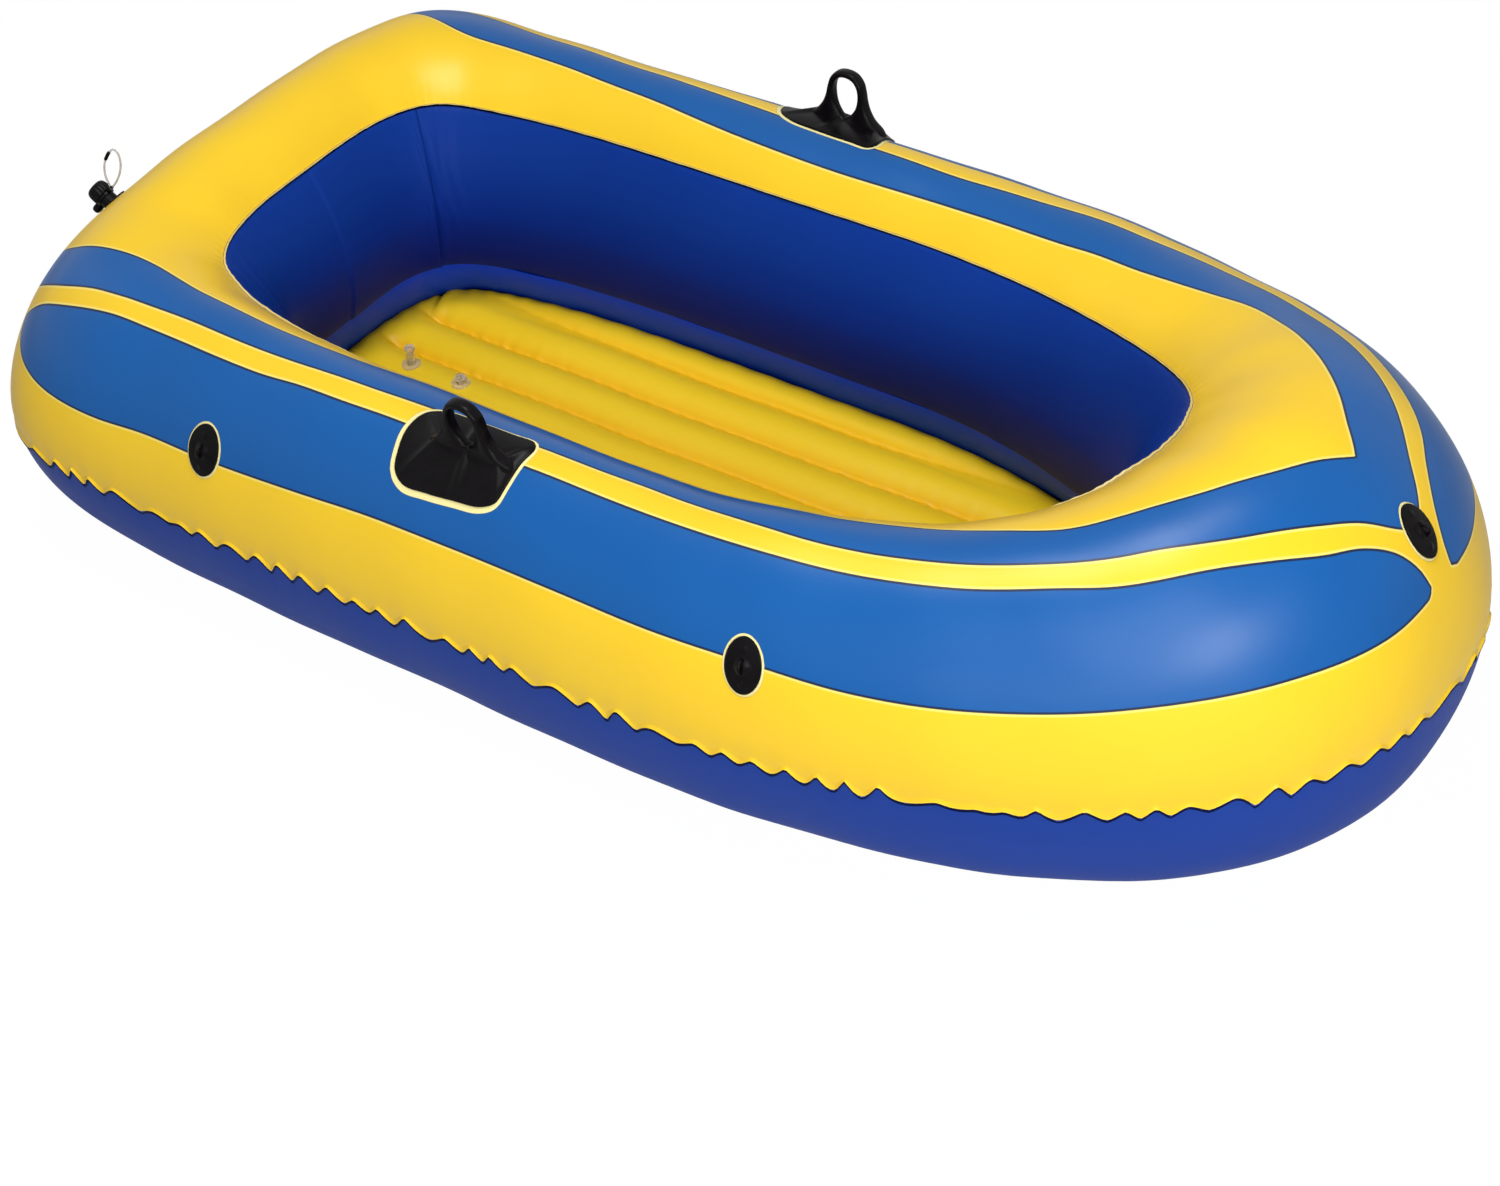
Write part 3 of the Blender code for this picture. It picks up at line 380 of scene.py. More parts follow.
def printed_film():
    """Yellow vinyl with two blue printed bands a side, each with a thin dark keyline and a
    pale edge outside it, pale rings round the fittings, a painted highlight along the weld's free
    edge, and at the well a painted shade line at the lip's root and a painted highlight on the lip."""
    made, tree, shader = new_finish("printed_yellow_vinyl")
    cloud = film_surface(tree, shader, 0.33, 0.33)
    yellow = mix_colour(tree, cloud, YELLOW_DEEP, YELLOW)
    blue = mix_colour(tree, cloud, PRINT_BLUE_DEEP, PRINT_BLUE)
    band = attribute(tree, "band")
    fitting = attribute(tree, "fitting")
    lip = attribute(tree, "lip")
    colour = mix_colour(tree, remap(tree, band, -0.0042, -0.0030), yellow, PALE_PRINT_AND_HIGHLIGHT)
    colour = mix_colour(tree, remap(tree, band, -0.0011, -0.0005), colour, LINE_BLUE)
    colour = mix_colour(tree, remap(tree, band, 0.0016, 0.0024), colour, blue)
    ring_line = remap(tree, fitting, 0.0008, 0.0002, 0.0, 0.35)
    colour = mix_colour(tree, ring_line, colour, LINE_BLUE)
    colour = mix_colour(tree, remap(tree, fitting, 0.0002, -0.0004), colour, FITTING_HALO)
    # painted highlight: a pale rim along the weld's free edge, where its tips catch the light
    weld_edge_highlight = remap(tree, attribute(tree, "weld"), 0.80, 0.98, 0.0, 0.20)
    colour = mix_colour(tree, weld_edge_highlight, colour, PALE_PRINT_AND_HIGHLIGHT)
    # painted shade: a grey line at the lip's root; painted highlight: the pale lip beyond it
    colour = mix_colour(tree, remap(tree, lip, 0.0, 0.15), colour, LIP_SHADE)
    colour = mix_colour(tree, remap(tree, lip, 0.25, 0.45), colour, LIP_PAINTED_HIGHLIGHT)
    tree.links.new(colour, shader.inputs["Base Color"])
    return made


def floor_film():
    """Yellow floor film, with painted shade: a deeper orange down in the creases between its air
    channels.
    """
    made, tree, shader = new_finish("yellow_floor_vinyl")
    cloud = film_surface(tree, shader, 0.36, 0.30)
    yellow = mix_colour(tree, cloud, FLOOR_YELLOW_DEEP, FLOOR_YELLOW)
    # painted shade: deeper orange in the creases, where shade and bounced yellow light fall
    crease_shade = remap(tree, attribute(tree, "crease_shade"), 0.0, 1.0, 0.0, 0.75)
    tree.links.new(mix_colour(tree, crease_shade, yellow, FLOOR_CREASE_PAINTED_SHADE), shader.inputs["Base Color"])
    return made


def lower_film():
    """Blue underside film: painted light inside the well, a brighter blue where its foot lies in
    shade, and dark at the weld where two films lie together, with painted shadow under the top
    film's flange."""
    made, tree, shader = new_finish("blue_lower_vinyl")
    cloud = film_surface(tree, shader, 0.40, 0.07)
    blue = mix_colour(tree, cloud, LOWER_DEEP, LOWER_BLUE)
    # painted light: the same film painted a brighter blue inside the well
    inside = remap(tree, attribute(tree, "inside"), 0.0, 1.0)
    blue = mix_colour(tree, inside, blue, WELL_FOOT_PAINTED_LIGHT)
    # dark weld edge, partly the films' joint and partly painted shadow under the flange
    edge = remap(tree, attribute(tree, "weld"), 0.30, 0.62)
    tree.links.new(mix_colour(tree, edge, blue, WELD_NAVY_AND_SHADOW), shader.inputs["Base Color"])
    return made


def wall_film():
    """Blue well wall: painted shade, deeper towards the floor; a painted shadow line under the rim
    and a dark line at the lap.
    """
    made, tree, shader = new_finish("blue_wall_vinyl")
    cloud = film_surface(tree, shader, 0.44, 0.05)
    blue = mix_colour(tree, cloud, WALL_DEEP, WALL_BLUE)
    # painted shade: darker towards the floor
    foot = remap(tree, attribute(tree, "down"), 0.25, 0.90, 0.0, 0.80)
    colour = mix_colour(tree, foot, blue, WALL_FOOT_PAINTED_SHADE)
    # painted shadow: a dark line just under the rim
    rim_shadow = remap(tree, attribute(tree, "top_edge"), 0.0034, 0.0024)
    colour = mix_colour(tree, rim_shadow, colour, WALL_RIM_PAINTED_SHADOW)
    from_lap = arithmetic(tree, "ABSOLUTE", attribute(tree, "lap"))
    lap_line = remap(tree, from_lap, 0.0013, 0.0005, 0.0, 0.85)
    tree.links.new(mix_colour(tree, lap_line, colour, LAP_LINE), shader.inputs["Base Color"])
    return made


def bottom_film():
    """The blue sheet under the floor."""
    made, tree, shader = new_finish("blue_bottom_vinyl")
    cloud = film_surface(tree, shader, 0.36, 0.30)
    tree.links.new(mix_colour(tree, cloud, BOTTOM_DEEP, BOTTOM_BLUE), shader.inputs["Base Color"])
    return made


def moulded_black():
    """Black rubber: a low, uneven shine with a fine moulded grain."""
    made, tree, shader = new_finish("black_moulded_rubber")
    cloud = noise(tree, 60.0, 3.0)
    tree.links.new(mix_colour(tree, cloud, BLACK, BLACK_WORN), shader.inputs["Base Color"])
    rough = remap(tree, cloud, CLOUD_LOW, CLOUD_HIGH, 0.22, 0.36)
    tree.links.new(rough, shader.inputs["Roughness"])
    shader.inputs["IOR"].default_value = SOFT_PLASTIC_IOR
    shader.inputs["Specular IOR Level"].default_value = 0.09
    bump(tree, shader, noise(tree, 700.0, 2.0), 0.06, 0.0006)
    return made


def clear_vinyl(name, dull, bright, clearness):
    """Soft see-through vinyl with a little cloud in it."""
    made, tree, shader = new_finish(name)
    cloud = noise(tree, 90.0, 2.0)
    tree.links.new(mix_colour(tree, cloud, dull, bright), shader.inputs["Base Color"])
    rough = remap(tree, cloud, CLOUD_LOW, CLOUD_HIGH, 0.05, 0.14)
    tree.links.new(rough, shader.inputs["Roughness"])
    shader.inputs["Transmission Weight"].default_value = clearness
    shader.inputs["IOR"].default_value = SOFT_PLASTIC_IOR
    bump(tree, shader, noise(tree, 260.0, 2.0), 0.15, 0.0008)
    return made


PRINTED = printed_film()
FLOOR_FILM = floor_film()
LOWER_FILM = lower_film()
WALL_FILM = wall_film()
BOTTOM_FILM = bottom_film()
RUBBER = moulded_black()
CLEAR = clear_vinyl("clear_soft_vinyl", (0.88, 0.84, 0.76), (0.95, 0.93, 0.88), 0.82)
TETHER_VINYL = clear_vinyl("smoky_tether_vinyl", (0.60, 0.60, 0.60), (0.72, 0.72, 0.71), 0.30)

# ---------------------------------------------------------------- printed bands

DECK_EDGE = ((0.147, 57), (0.160, 66), (0.172, 75.5), (0.183, 83), (0.194, 89), (0.206, 93.5),
             (0.221, 96.5), (0.240, 98), (0.275, 99), (0.31, 100.5), (0.345, 103), (0.375, 105),
             (0.41, 108), (0.45, 110.5), (0.50, 112), (0.566, 111), (0.593, 110.5),
             (0.65, 108.5), (0.68, 106), (0.715, 104), (0.746, 101), (0.777, 97), (0.812, 92.5),
             (0.85, 91), (0.877, 90), (0.904, 88), (0.93, 85.5), (0.956, 81.5), (0.978, 77),
             (1.0, 70))
INNER_BAND_EDGE = ((0.160, 45), (0.191, 61), (0.214, 70.5), (0.237, 75), (0.262, 77.7),
                   (0.290, 80), (0.318, 81.3), (0.344, 82.6), (0.370, 84), (0.397, 86), (0.42, 87),
                   (0.46, 89), (0.52, 91), (0.571, 92), (0.593, 91), (0.619, 89.5),
                   (0.641, 87.5), (0.667, 85), (0.689, 83.5), (0.711, 82), (0.75, 80),
                   (0.794, 78), (0.838, 75.5), (0.86, 74.5), (0.882, 72.5), (0.904, 70),
                   (0.926, 67), (0.947, 63), (0.969, 57.5), (0.987, 50), (1.0, 45))
INNER_BAND_TAIL_TOP = ((0.147, 57), (0.13, 45), (0.112, 31), (0.104, 22))
INNER_BAND_TAIL_FOOT = ((0.104, 22), (0.122, 27), (0.143, 36), (0.160, 45))
OUTER_BAND_TOP = ((0.173, 38), (0.180, 44), (0.190, 51), (0.204, 57), (0.224, 63),
                  (0.245, 66.7), (0.272, 68.3), (0.298, 69.3), (0.328, 70), (0.355, 71),
                  (0.378, 73), (0.406, 74), (0.429, 75),
                  (0.46, 75.5), (0.53, 77.5), (0.6, 76.5), (0.65, 74.5), (0.7, 72),
                  (0.75, 70), (0.8, 68.5), (0.834, 66), (0.877, 64.5), (0.895, 63),
                  (0.917, 60), (0.939, 56), (0.961, 52), (0.978, 45.5), (0.987, 38),
                  (0.990, 31.5))
OUTER_BAND_FOOT = ((0.173, 38), (0.176, 35.5), (0.185, 33), (0.200, 30.5), (0.225, 28.3),
                   (0.262, 28), (0.295, 30), (0.346, 31), (0.397, 33.5), (0.447, 36), (0.5, 36.5),
                   (0.6, 36), (0.658, 35), (0.70, 33), (0.75, 32), (0.84, 32), (0.90, 31),
                   (0.934, 30), (0.961, 29.5), (0.985, 30))


BAND_STEP, SHARE_PER_DEGREE = 0.002, 0.0018
PAST_BOW = 1.12


def spline_span(p0, p1, p2, p3, shares):
    """Places from p1 to p2 on the centripetal spline through four points."""
    gaps = [np.linalg.norm(b - a) ** 0.5 for a, b in ((p0, p1), (p1, p2), (p2, p3))]
    t = shares[:, None]
    m1 = (p2 - p1) + gaps[1] * ((p1 - p0) / gaps[0] - (p2 - p0) / (gaps[0] + gaps[1]))
    m2 = (p2 - p1) + gaps[1] * ((p3 - p2) / gaps[2] - (p3 - p1) / (gaps[1] + gaps[2]))
    return ((2 * t**3 - 3 * t**2 + 1) * p1 + (t**3 - 2 * t**2 + t) * m1
            + (-2 * t**3 + 3 * t**2) * p2 + (t**3 - t**2) * m2)


def smooth_path(places):
    """A smooth line through (share, angle) places, with angles weighed against shares so
    that both are much alike in metres."""
    pts = np.array(places, float)
    pts[:, 1] *= SHARE_PER_DEGREE
    ends = np.concatenate([[2 * pts[0] - pts[1]], pts, [2 * pts[-1] - pts[-2]]])
    out = []
    for k in range(1, len(ends) - 2):
        steps = max(2, int(np.linalg.norm(ends[k + 1] - ends[k]) / BAND_STEP))
        out.append(spline_span(*ends[k - 1:k + 3], np.linspace(0, 1, steps, endpoint=False)))
    line = np.concatenate([*out, pts[-1:]])
    line[:, 1] /= SHARE_PER_DEGREE
    return line


def mirrored_past_bow(line):
    """A band's edge carried on a little way past the bow, so that the two sides join."""
    over = line[line[:, 0] < 0.999][::-1].copy()
    over[:, 0] = 2.0 - over[:, 0]
    return np.concatenate([line, over[over[:, 0] < PAST_BOW]])


def band_outlines():
    deck, inner, tail_top, tail_foot, outer_top, outer_foot = (smooth_path(places) for places in (
        DECK_EDGE, INNER_BAND_EDGE, INNER_BAND_TAIL_TOP, INNER_BAND_TAIL_FOOT,
        OUTER_BAND_TOP, OUTER_BAND_FOOT))
    inner_band = np.concatenate([tail_top[::-1][:-1], mirrored_past_bow(deck),
                                 mirrored_past_bow(inner)[::-1], tail_foot[::-1]])
    return inner_band, np.concatenate([outer_top, outer_foot[::-1]])


def inside_outline(outline, x, y):
    """Whether each place lies inside a closed outline, by counting crossings."""
    inside = np.zeros(x.shape, bool)
    a, b = outline, np.roll(outline, -1, axis=0)
    for (x0, y0), (x1, y1) in zip(a, b):
        if y0 == y1:
            continue
        crosses = (y0 > y) != (y1 > y)
        inside ^= crosses & (x < (x1 - x0) * (y - y0) / (y1 - y0) + x0)
    return inside


FAR_OFF = 0.06


def distance_to_line(line, points, cap=FAR_OFF):
    """Least distance in metres from each point to a polyline, none more than the cap."""
    best = np.full(len(points), cap)
    a, b = line[:-1], line[1:]
    leg = b - a
    size = np.maximum((leg**2).sum(1), 1e-18)
    for k in range(len(a)):
        near = np.nonzero(np.abs(points - (a[k] + b[k]) / 2).max(1) < cap)[0]
        if not len(near):
            continue
        away = points[near] - a[k]
        t = np.clip(away @ leg[k] / size[k], 0, 1)[:, None]
        best[near] = np.minimum(best[near], np.linalg.norm(away - leg[k] * t, axis=1))
    return best


def band_distance(shares, angles):
    """Signed distance in metres to the nearest band's edge, positive in the print."""
    spots = tube_point(shares / 2, angles)
    value = np.full(len(shares), -FAR_OFF)
    for outline in band_outlines():
        ring = np.concatenate([outline, outline[:1]])
        space = tube_point(ring[:, 0] / 2, ring[:, 1])
        far = distance_to_line(space, spots)
        signed = np.where(inside_outline(outline, shares, angles), far, -far)
        value = np.where(np.abs(signed) < np.abs(value), signed, value)
        value = np.where(signed > 0, np.maximum(value, signed), value)
    return value


# ---------------------------------------------------------------- fittings' places

OARLOCK_X, OARLOCK_ANGLE = -0.1195, 73.0
PLATE_CORNERS = (
    (-0.0940, -0.024), (-0.0890, -0.044), (-0.0730, -0.0540), (-0.0380, -0.0535),
    (0.0000, -0.0505), (0.0360, -0.0465), (0.0540, -0.0370), (0.0600, -0.0180),
    (0.0640, 0.0120), (0.0665, 0.0370), (0.0590, 0.0475), (0.0320, 0.0470),
    (-0.0180, 0.0455), (-0.0620, 0.0420), (-0.0850, 0.0290), (-0.0950, 0.0020))
PLATE_BORDER, PLATE_BORDER_SHIFT = 0.0052, (-0.0012, -0.0012)
EYELET_HALF_WIDTH, EYELET_HALF_HEIGHT, EYELET_BORDER = 0.0232, 0.0340, 0.0031
OUTLINE_STEPS, OVAL_STEPS = 10, 96
FITTING_REACH = 0.14
EYELET_PLACES = {
    "fore_starboard": (0.291, -1.0, 34.0), "fore_port": (0.291, 1.0, 34.0),
    "aft_starboard": (-0.489, -1.0, 34.0), "aft_port": (-0.489, 1.0, 34.0),
    "bow": (None, 1.0, 45.0), "stern": (None, 1.0, 45.0)}


def ring_at_x(x, side):
    share = float(np.interp(x, OUTER[:, 0], SHARES))
    return share / 2 if side > 0 else 1.0 - share / 2


def eyelet_place(label):
    x, side, angle = EYELET_PLACES[label]
    ring = {"bow": 0.5, "stern": 0.0}.get(label)
    return (ring_at_x(x, side) if ring is None else ring), angle, side


def oarlock_place(side):
    return ring_at_x(OARLOCK_X, side), OARLOCK_ANGLE, side


def section_speed(ring, angle):
    return float(tube_frame(np.float64(ring), np.float64(angle))[4])


def patch_points(place, fore, around, height):
    """Points by a place on the tube: metres towards the bow, up the section, and off it."""
    ring, angle, side = place
    spot, normal, _, _, _ = tube_frame(
        ring + side * fore / (2 * HALF_TRAVEL), angle + around / section_speed(ring, angle))
    return spot + normal * height[..., None]


def patch_place(place, rings, angles):
    """The reverse: how far in metres each point of the tube lies from a place on it."""
    ring, angle, side = place
    away = np.mod(rings - ring + 0.5, 1.0) - 0.5
    return side * away * 2 * HALF_TRAVEL, (angles - angle) * section_speed(ring, angle)


def closed_spline(corners, steps):
    """A smooth closed outline through its corners, steps points to each span."""
    pts = np.array(corners, float)
    shares = np.arange(steps) / steps
    return np.concatenate([
        spline_span(*(pts[(k + d) % len(pts)] for d in (-1, 0, 1, 2)), shares)
        for k in range(len(pts))])


def plate_outline():
    return closed_spline(PLATE_CORNERS, OUTLINE_STEPS)


def eyelet_outline():
    """A little narrower at its top and foot than an ellipse."""
    turn = np.arange(OVAL_STEPS) / OVAL_STEPS * math.tau
    waist = 1.0 - 0.05 * np.abs(np.sin(turn)) ** 3
    return np.stack([EYELET_HALF_WIDTH * np.cos(turn) * waist,
                     EYELET_HALF_HEIGHT * np.sin(turn)], 1)


def grown(outline, border, shift=(0.0, 0.0)):
    """An outline drawn outwards by a border's width, then shifted."""
    ahead = np.roll(outline, -1, 0) - np.roll(outline, 1, 0)
    out = unit(np.stack([ahead[:, 1], -ahead[:, 0]], 1))
    return outline + out * border + np.array(shift)


def fitting_distance(rings, angles):
    """Signed metres to the edge of the pale border printed round each fitting."""
    value = np.full(len(rings), FAR_OFF)
    oval = grown(eyelet_outline(), EYELET_BORDER)
    plate = grown(plate_outline(), PLATE_BORDER, PLATE_BORDER_SHIFT)
    places = [(eyelet_place(label), oval) for label in EYELET_PLACES]
    places += [(oarlock_place(side), plate) for side in (1.0, -1.0)]
    for place, outline in places:
        fore, around = patch_place(place, rings, angles)
        near = np.nonzero(np.hypot(fore, around) < FITTING_REACH)[0]
        spots = np.stack([fore[near], around[near]], 1)
        far = distance_to_line(np.concatenate([outline, outline[:1]]), spots)
        inside = inside_outline(outline, spots[:, 0], spots[:, 1])
        value[near] = np.minimum(value[near], np.where(inside, -far, far))
    return value


# ---------------------------------------------------------------- hull films

RING_STEPS = 1100
PUCKERS = 118
WELD_WIDTH = 0.0065
UNDER_WELD_WIDTH = 0.0100
WELD_WANDER = 0.0098
ROOT_LIFT, UNDER_ROOT_DROP = 1.4, 0.35
RIM_SETBACK, WALL_TUCK = 1.2, 0.7
INNER_LIP = 0.0040
FILM_THICKNESS = 0.0006
LAP_SEAM_RING = port(0.1485)
CALM_STRETCHES = ((0.905, 0.012), (0.62, 0.011), (0.17, 0.015), (0.33, 0.011))
TOP_WELD_SHARES, UNDER_WELD_SHARES = (1.0, 0.86, 0.6, 0.3), (0.3, 0.6, 0.84, 1.0)
LIP_SHARES = (0.35, 0.75, 1.0)
WELD_TILT, WELD_TILT_LOW, WELD_TILT_HIGH, TILT_BY_SCALLOP = -70.0, -82.0, -52.0, 22.0
TOP_ROWS, LOWER_ROWS, WALL_ROWS, BACK_ROWS, BOTTOM_STEPS = 66, 54, 52, 9, 500
GROUND_CLEARANCE = 0.0002


def pucker_phase(ring):
    return PUCKERS * ring + 0.95 * ring_noise(ring, (5, 9, 14, 23, 31), 4)


def pucker_size(ring):
    """How strongly the weld is gathered: hardly at all on a few short stretches."""
    calm = np.zeros_like(ring)
    for centre, reach in CALM_STRETCHES:
        calm = np.maximum(calm, np.exp(-((ring - centre) / reach) ** 4))
    uneven = 0.92 + 0.75 * ring_noise(ring, (7, 12, 19, 33, 47), 9)
    return np.clip(uneven, 0.30, 1.35) * (1.0 - 0.88 * calm)


def scallop(ring):
    """Ripple of the weld's free edge: round lobes that rise between points on some stretches
    and hang between notches on others."""
    turn = math.pi * pucker_phase(ring)
    rising = np.sqrt(np.sin(turn) ** 2 + 0.05) - 0.69
    hanging = 0.69 - np.sqrt(np.cos(turn) ** 2 + 0.05)
    blend = np.clip(0.5 + 0.9 * ring_noise(ring, (3, 5, 8), 21), 0.0, 1.0)
    return (rising * blend + hanging * (1.0 - blend)) * 1.75 * pucker_size(ring)


def seam_relief(ring, metres_off):
    """Height of the film near the outer weld: drawn in a little, puffed between gathers."""
    off = np.abs(metres_off)
    gather = np.cos(math.tau * pucker_phase(ring)) * pucker_size(ring)
    return -0.0005 * np.exp(-off / 0.004) - 0.0007 * gather * np.exp(-off / 0.015)


def inner_seam_relief(ring, metres_off):
    """Height of the film near the well's rim: drawn in, with fine gathers at the ends."""
    off = np.abs(metres_off)
    fine = np.cos(math.tau * (150 * ring + 0.8 * ring_noise(ring, (6, 11, 17), 2)))
    ends = 0.25 + 0.6 * np.exp(-((ring - 0.5) / 0.11) ** 2) + 0.5 * np.exp(
        -((np.abs(ring - 0.5) - 0.42) / 0.05) ** 2)
    return -0.0010 * np.exp(-off / 0.005) - 0.0004 * fine * ends * np.exp(-off / 0.012)


def fair_relief(ring, angle):
    """The slow unevenness of a blown-up film tube."""
    rad = np.radians(angle)
    return (0.0009 * np.sin(math.tau * 9 * ring + 2.0 * np.sin(rad))
            + 0.0006 * np.sin(math.tau * 17 * ring + 3 * rad)
            + 0.0004 * np.sin(math.tau * 29 * ring - 2 * rad + 1.0))


def film_points(ring, angle, relief):
    spot, normal, _, _, _ = tube_frame(ring, angle)
    return spot + normal * relief[..., None]


def root_angle_at(ring):
    """The weld's root wanders a little with its gathers."""
    _, _, _, _, speed = tube_frame(ring, np.full_like(ring, OUTER_SEAM))
    return OUTER_SEAM + ROOT_LIFT + WELD_WANDER * scallop(ring) / speed


def weld_rows(ring, roots, width, shares, drop):
    """Rows of the weld's free edge, turned up and down about its root by the gathers."""
    _, normal, _, _, _ = tube_frame(ring, root_angle_at(ring))
    flat = normal.copy()
    flat[:, 2] = 0.0
    flat = unit(flat)
    tilt = np.radians(np.clip(WELD_TILT + TILT_BY_SCALLOP * scallop(ring),
                              WELD_TILT_LOW, WELD_TILT_HIGH))[:, None]
    reach = flat * np.cos(tilt) + np.array([0.0, 0.0, 1.0]) * np.sin(tilt)
    under = flat * np.sin(tilt) - np.array([0.0, 0.0, 1.0]) * np.cos(tilt)
    length = (width * (1.0 - 0.42 * scallop(ring)))[:, None]
    return [roots + reach * length * share + under * drop for share in shares]


def row_shares(count, crowd_start, crowd_end):
    """Shares from 0 to 1, closer together at either end by a crowding below one."""
    t = np.linspace(0, 1, count)
    return t - crowd_start * t * (1 - t) ** 2 + crowd_end * t**2 * (1 - t)


def section_metres(ring, angles):
    """Metres from the first row to each row, for every column."""
    spots = tube_point(ring[:, None], angles)
    legs = np.linalg.norm(np.diff(spots, axis=1), axis=2)
    return np.concatenate([np.zeros((len(ring), 1)), np.cumsum(legs, axis=1)], axis=1)


def closed_film(name, rows, values, inner_rows, inward):
    """One closed skin: the seen rows, then a plainer back a film's thickness behind them."""
    seen = np.stack(rows, axis=1)
    back = seen[:, inner_rows] + inward[:, inner_rows] * FILM_THICKNESS
    points = np.concatenate([seen, back, seen[:, :1]], axis=1)
    mesh, i, j = bent_grid(name, len(seen), points.shape[1] - 1, points, True)
    every = np.concatenate([np.arange(seen.shape[1]), np.array(inner_rows), [0]])
    for label, table in values.items():
        store(mesh, label, table[i, every[j]])
    merge_doubles(mesh, FILM_MERGE, turn_out=False)
    return mesh


def inward_of(rows):
    """Unit vectors pointing behind a strip's seen face."""
    seen = np.stack(rows, axis=1)
    along = np.roll(seen, -1, 0) - np.roll(seen, 1, 0)
    across = np.gradient(seen, axis=1)
    return unit(np.cross(along, across))


def back_rows(count, lip_start, lip_end):
    """Which rows the back repeats, from the last to the first."""
    middle = np.linspace(lip_start, count - 1 - lip_end, BACK_ROWS).astype(int)
    return ([count - 1 - k for k in range(lip_end)] + list(middle[::-1])
            + list(range(lip_start))[::-1])


def finish_film(name, mesh, spot, finish, node):
    """Turn a film's seen face outwards, which it shows at one spot of the tube, and place it."""
    centre, normal, _, _, _ = tube_frame(np.float64(spot[0]), np.float64(spot[1]))
    face_towards(mesh, centre, normal)
    mesh.set_sharp_from_angle(angle=math.radians(50.0))
    made = piece(name, mesh, finish, smooth=False)
    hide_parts(node)


def make_top_film():
    ring = np.arange(RING_STEPS) / RING_STEPS
    root = root_angle_at(ring)
    base = row_shares(TOP_ROWS, 0.75, 0.5)
    angles = root[:, None] + (INNER_SEAM - RIM_SETBACK - root)[:, None] * base[None]
    rings = np.broadcast_to(ring[:, None], angles.shape)
    off = section_metres(ring, angles)
    relief = (seam_relief(rings, off) + inner_seam_relief(rings, off[:, -1:] - off)
              + fair_relief(rings, angles))
    film = film_points(rings, angles, relief)
    weld = weld_rows(ring, film[:, 0], WELD_WIDTH, TOP_WELD_SHARES, 0.0)
    _, normal, _, _, _ = tube_frame(ring, angles[:, -1])
    level = normal * np.array([1.0, 1.0, 0.45])
    tiny = (0.0005 * ring_noise(ring, (60, 83, 101), 7) - 0.0004)[:, None]
    lip = [film[:, -1] + unit(level) * (INNER_LIP * share) + np.array([0, 0, 1.0]) * tiny * share
           for share in LIP_SHARES]
    rows = [*weld, *[film[:, k] for k in range(film.shape[1])], *lip]
    count = len(rows)
    full = np.concatenate([np.repeat(angles[:, :1], len(weld), 1), angles,
                           np.repeat(angles[:, -1:], len(lip), 1)], 1)
    across = np.broadcast_to(ring[:, None], full.shape)
    share = np.where(across < 0.5, 2 * across, 2 - 2 * across)
    band = band_distance(share.ravel(), full.ravel()).reshape(full.shape)
    fitting = fitting_distance(across.ravel(), full.ravel()).reshape(full.shape)
    welded = np.zeros(count)
    welded[:len(weld)] = TOP_WELD_SHARES
    lipped = np.zeros(count)
    lipped[-len(lip):] = LIP_SHARES
    values = {"band": band, "fitting": fitting, "weld": np.broadcast_to(welded, full.shape),
              "lip": np.broadcast_to(lipped, full.shape)}
    mesh = closed_film("hull_top_film", rows, values, back_rows(count, len(weld), len(lip)),
                       inward_of(rows))
    finish_film("hull_top_film", mesh, (0.25, 60.0), PRINTED, "hull_top_panel")


def make_lower_film():
    ring = np.arange(RING_STEPS) / RING_STEPS
    root = root_angle_at(ring) - UNDER_ROOT_DROP
    start = np.full_like(ring, WALL_FOOT - 360.0)
    angles = start[:, None] + (root - start)[:, None] * row_shares(LOWER_ROWS, 0.1, 0.75)[None]
    rings = np.broadcast_to(ring[:, None], angles.shape)
    off = section_metres(ring, angles)
    clear_of_ground = np.clip((np.cos(np.radians(angles + 90.0)) - 0.9) * -10.0, 0.0, 1.0)
    relief = (seam_relief(rings, off[:, -1:] - off) + fair_relief(rings, angles) * clear_of_ground
              - 0.0012 * np.exp(-off / 0.006)
              - 0.0011 * np.exp(-((off[:, -1:] - off) / 0.004) ** 2))
    film = film_points(rings, angles, relief)
    film[..., 2] = np.maximum(film[..., 2], GROUND_CLEARANCE)
    weld = weld_rows(ring, film[:, -1], UNDER_WELD_WIDTH, UNDER_WELD_SHARES, 0.0010)
    rows = [*[film[:, k] for k in range(film.shape[1])], *weld]
    welded = np.zeros(len(rows))
    welded[-len(weld):] = UNDER_WELD_SHARES
    welded[-len(weld) - 1] = 0.1
    # mask of the lower film's painted light inside the well
    inside = np.concatenate([np.clip((-100.0 - angles) / 12.0, 0.0, 1.0),
                             np.zeros((RING_STEPS, len(weld)))], 1)
    values = {"weld": np.broadcast_to(welded, (RING_STEPS, len(rows))), "inside": inside}
    mesh = closed_film("hull_lower_film", rows, values, back_rows(len(rows), 1, len(weld)),
                       inward_of(rows))
    finish_film("hull_lower_film", mesh, (0.25, -40.0), LOWER_FILM,
                "hull_lower_panel")


def metres_from_lap(ring, down):
    """How far round the wall a place lies from the slightly wavy lap where its ends meet."""
    return (ring - LAP_SEAM_RING) * 2 * HALF_TRAVEL - 0.004 * np.sin(5.0 * down)


LAP_PINCHES = ((-0.020, 0.16, 1.0), (-0.030, 0.24, 0.8), (-0.012, 0.62, 0.9),
               (0.016, 0.45, 0.7), (-0.045, 0.55, 0.7), (-0.060, 0.75, 0.6))


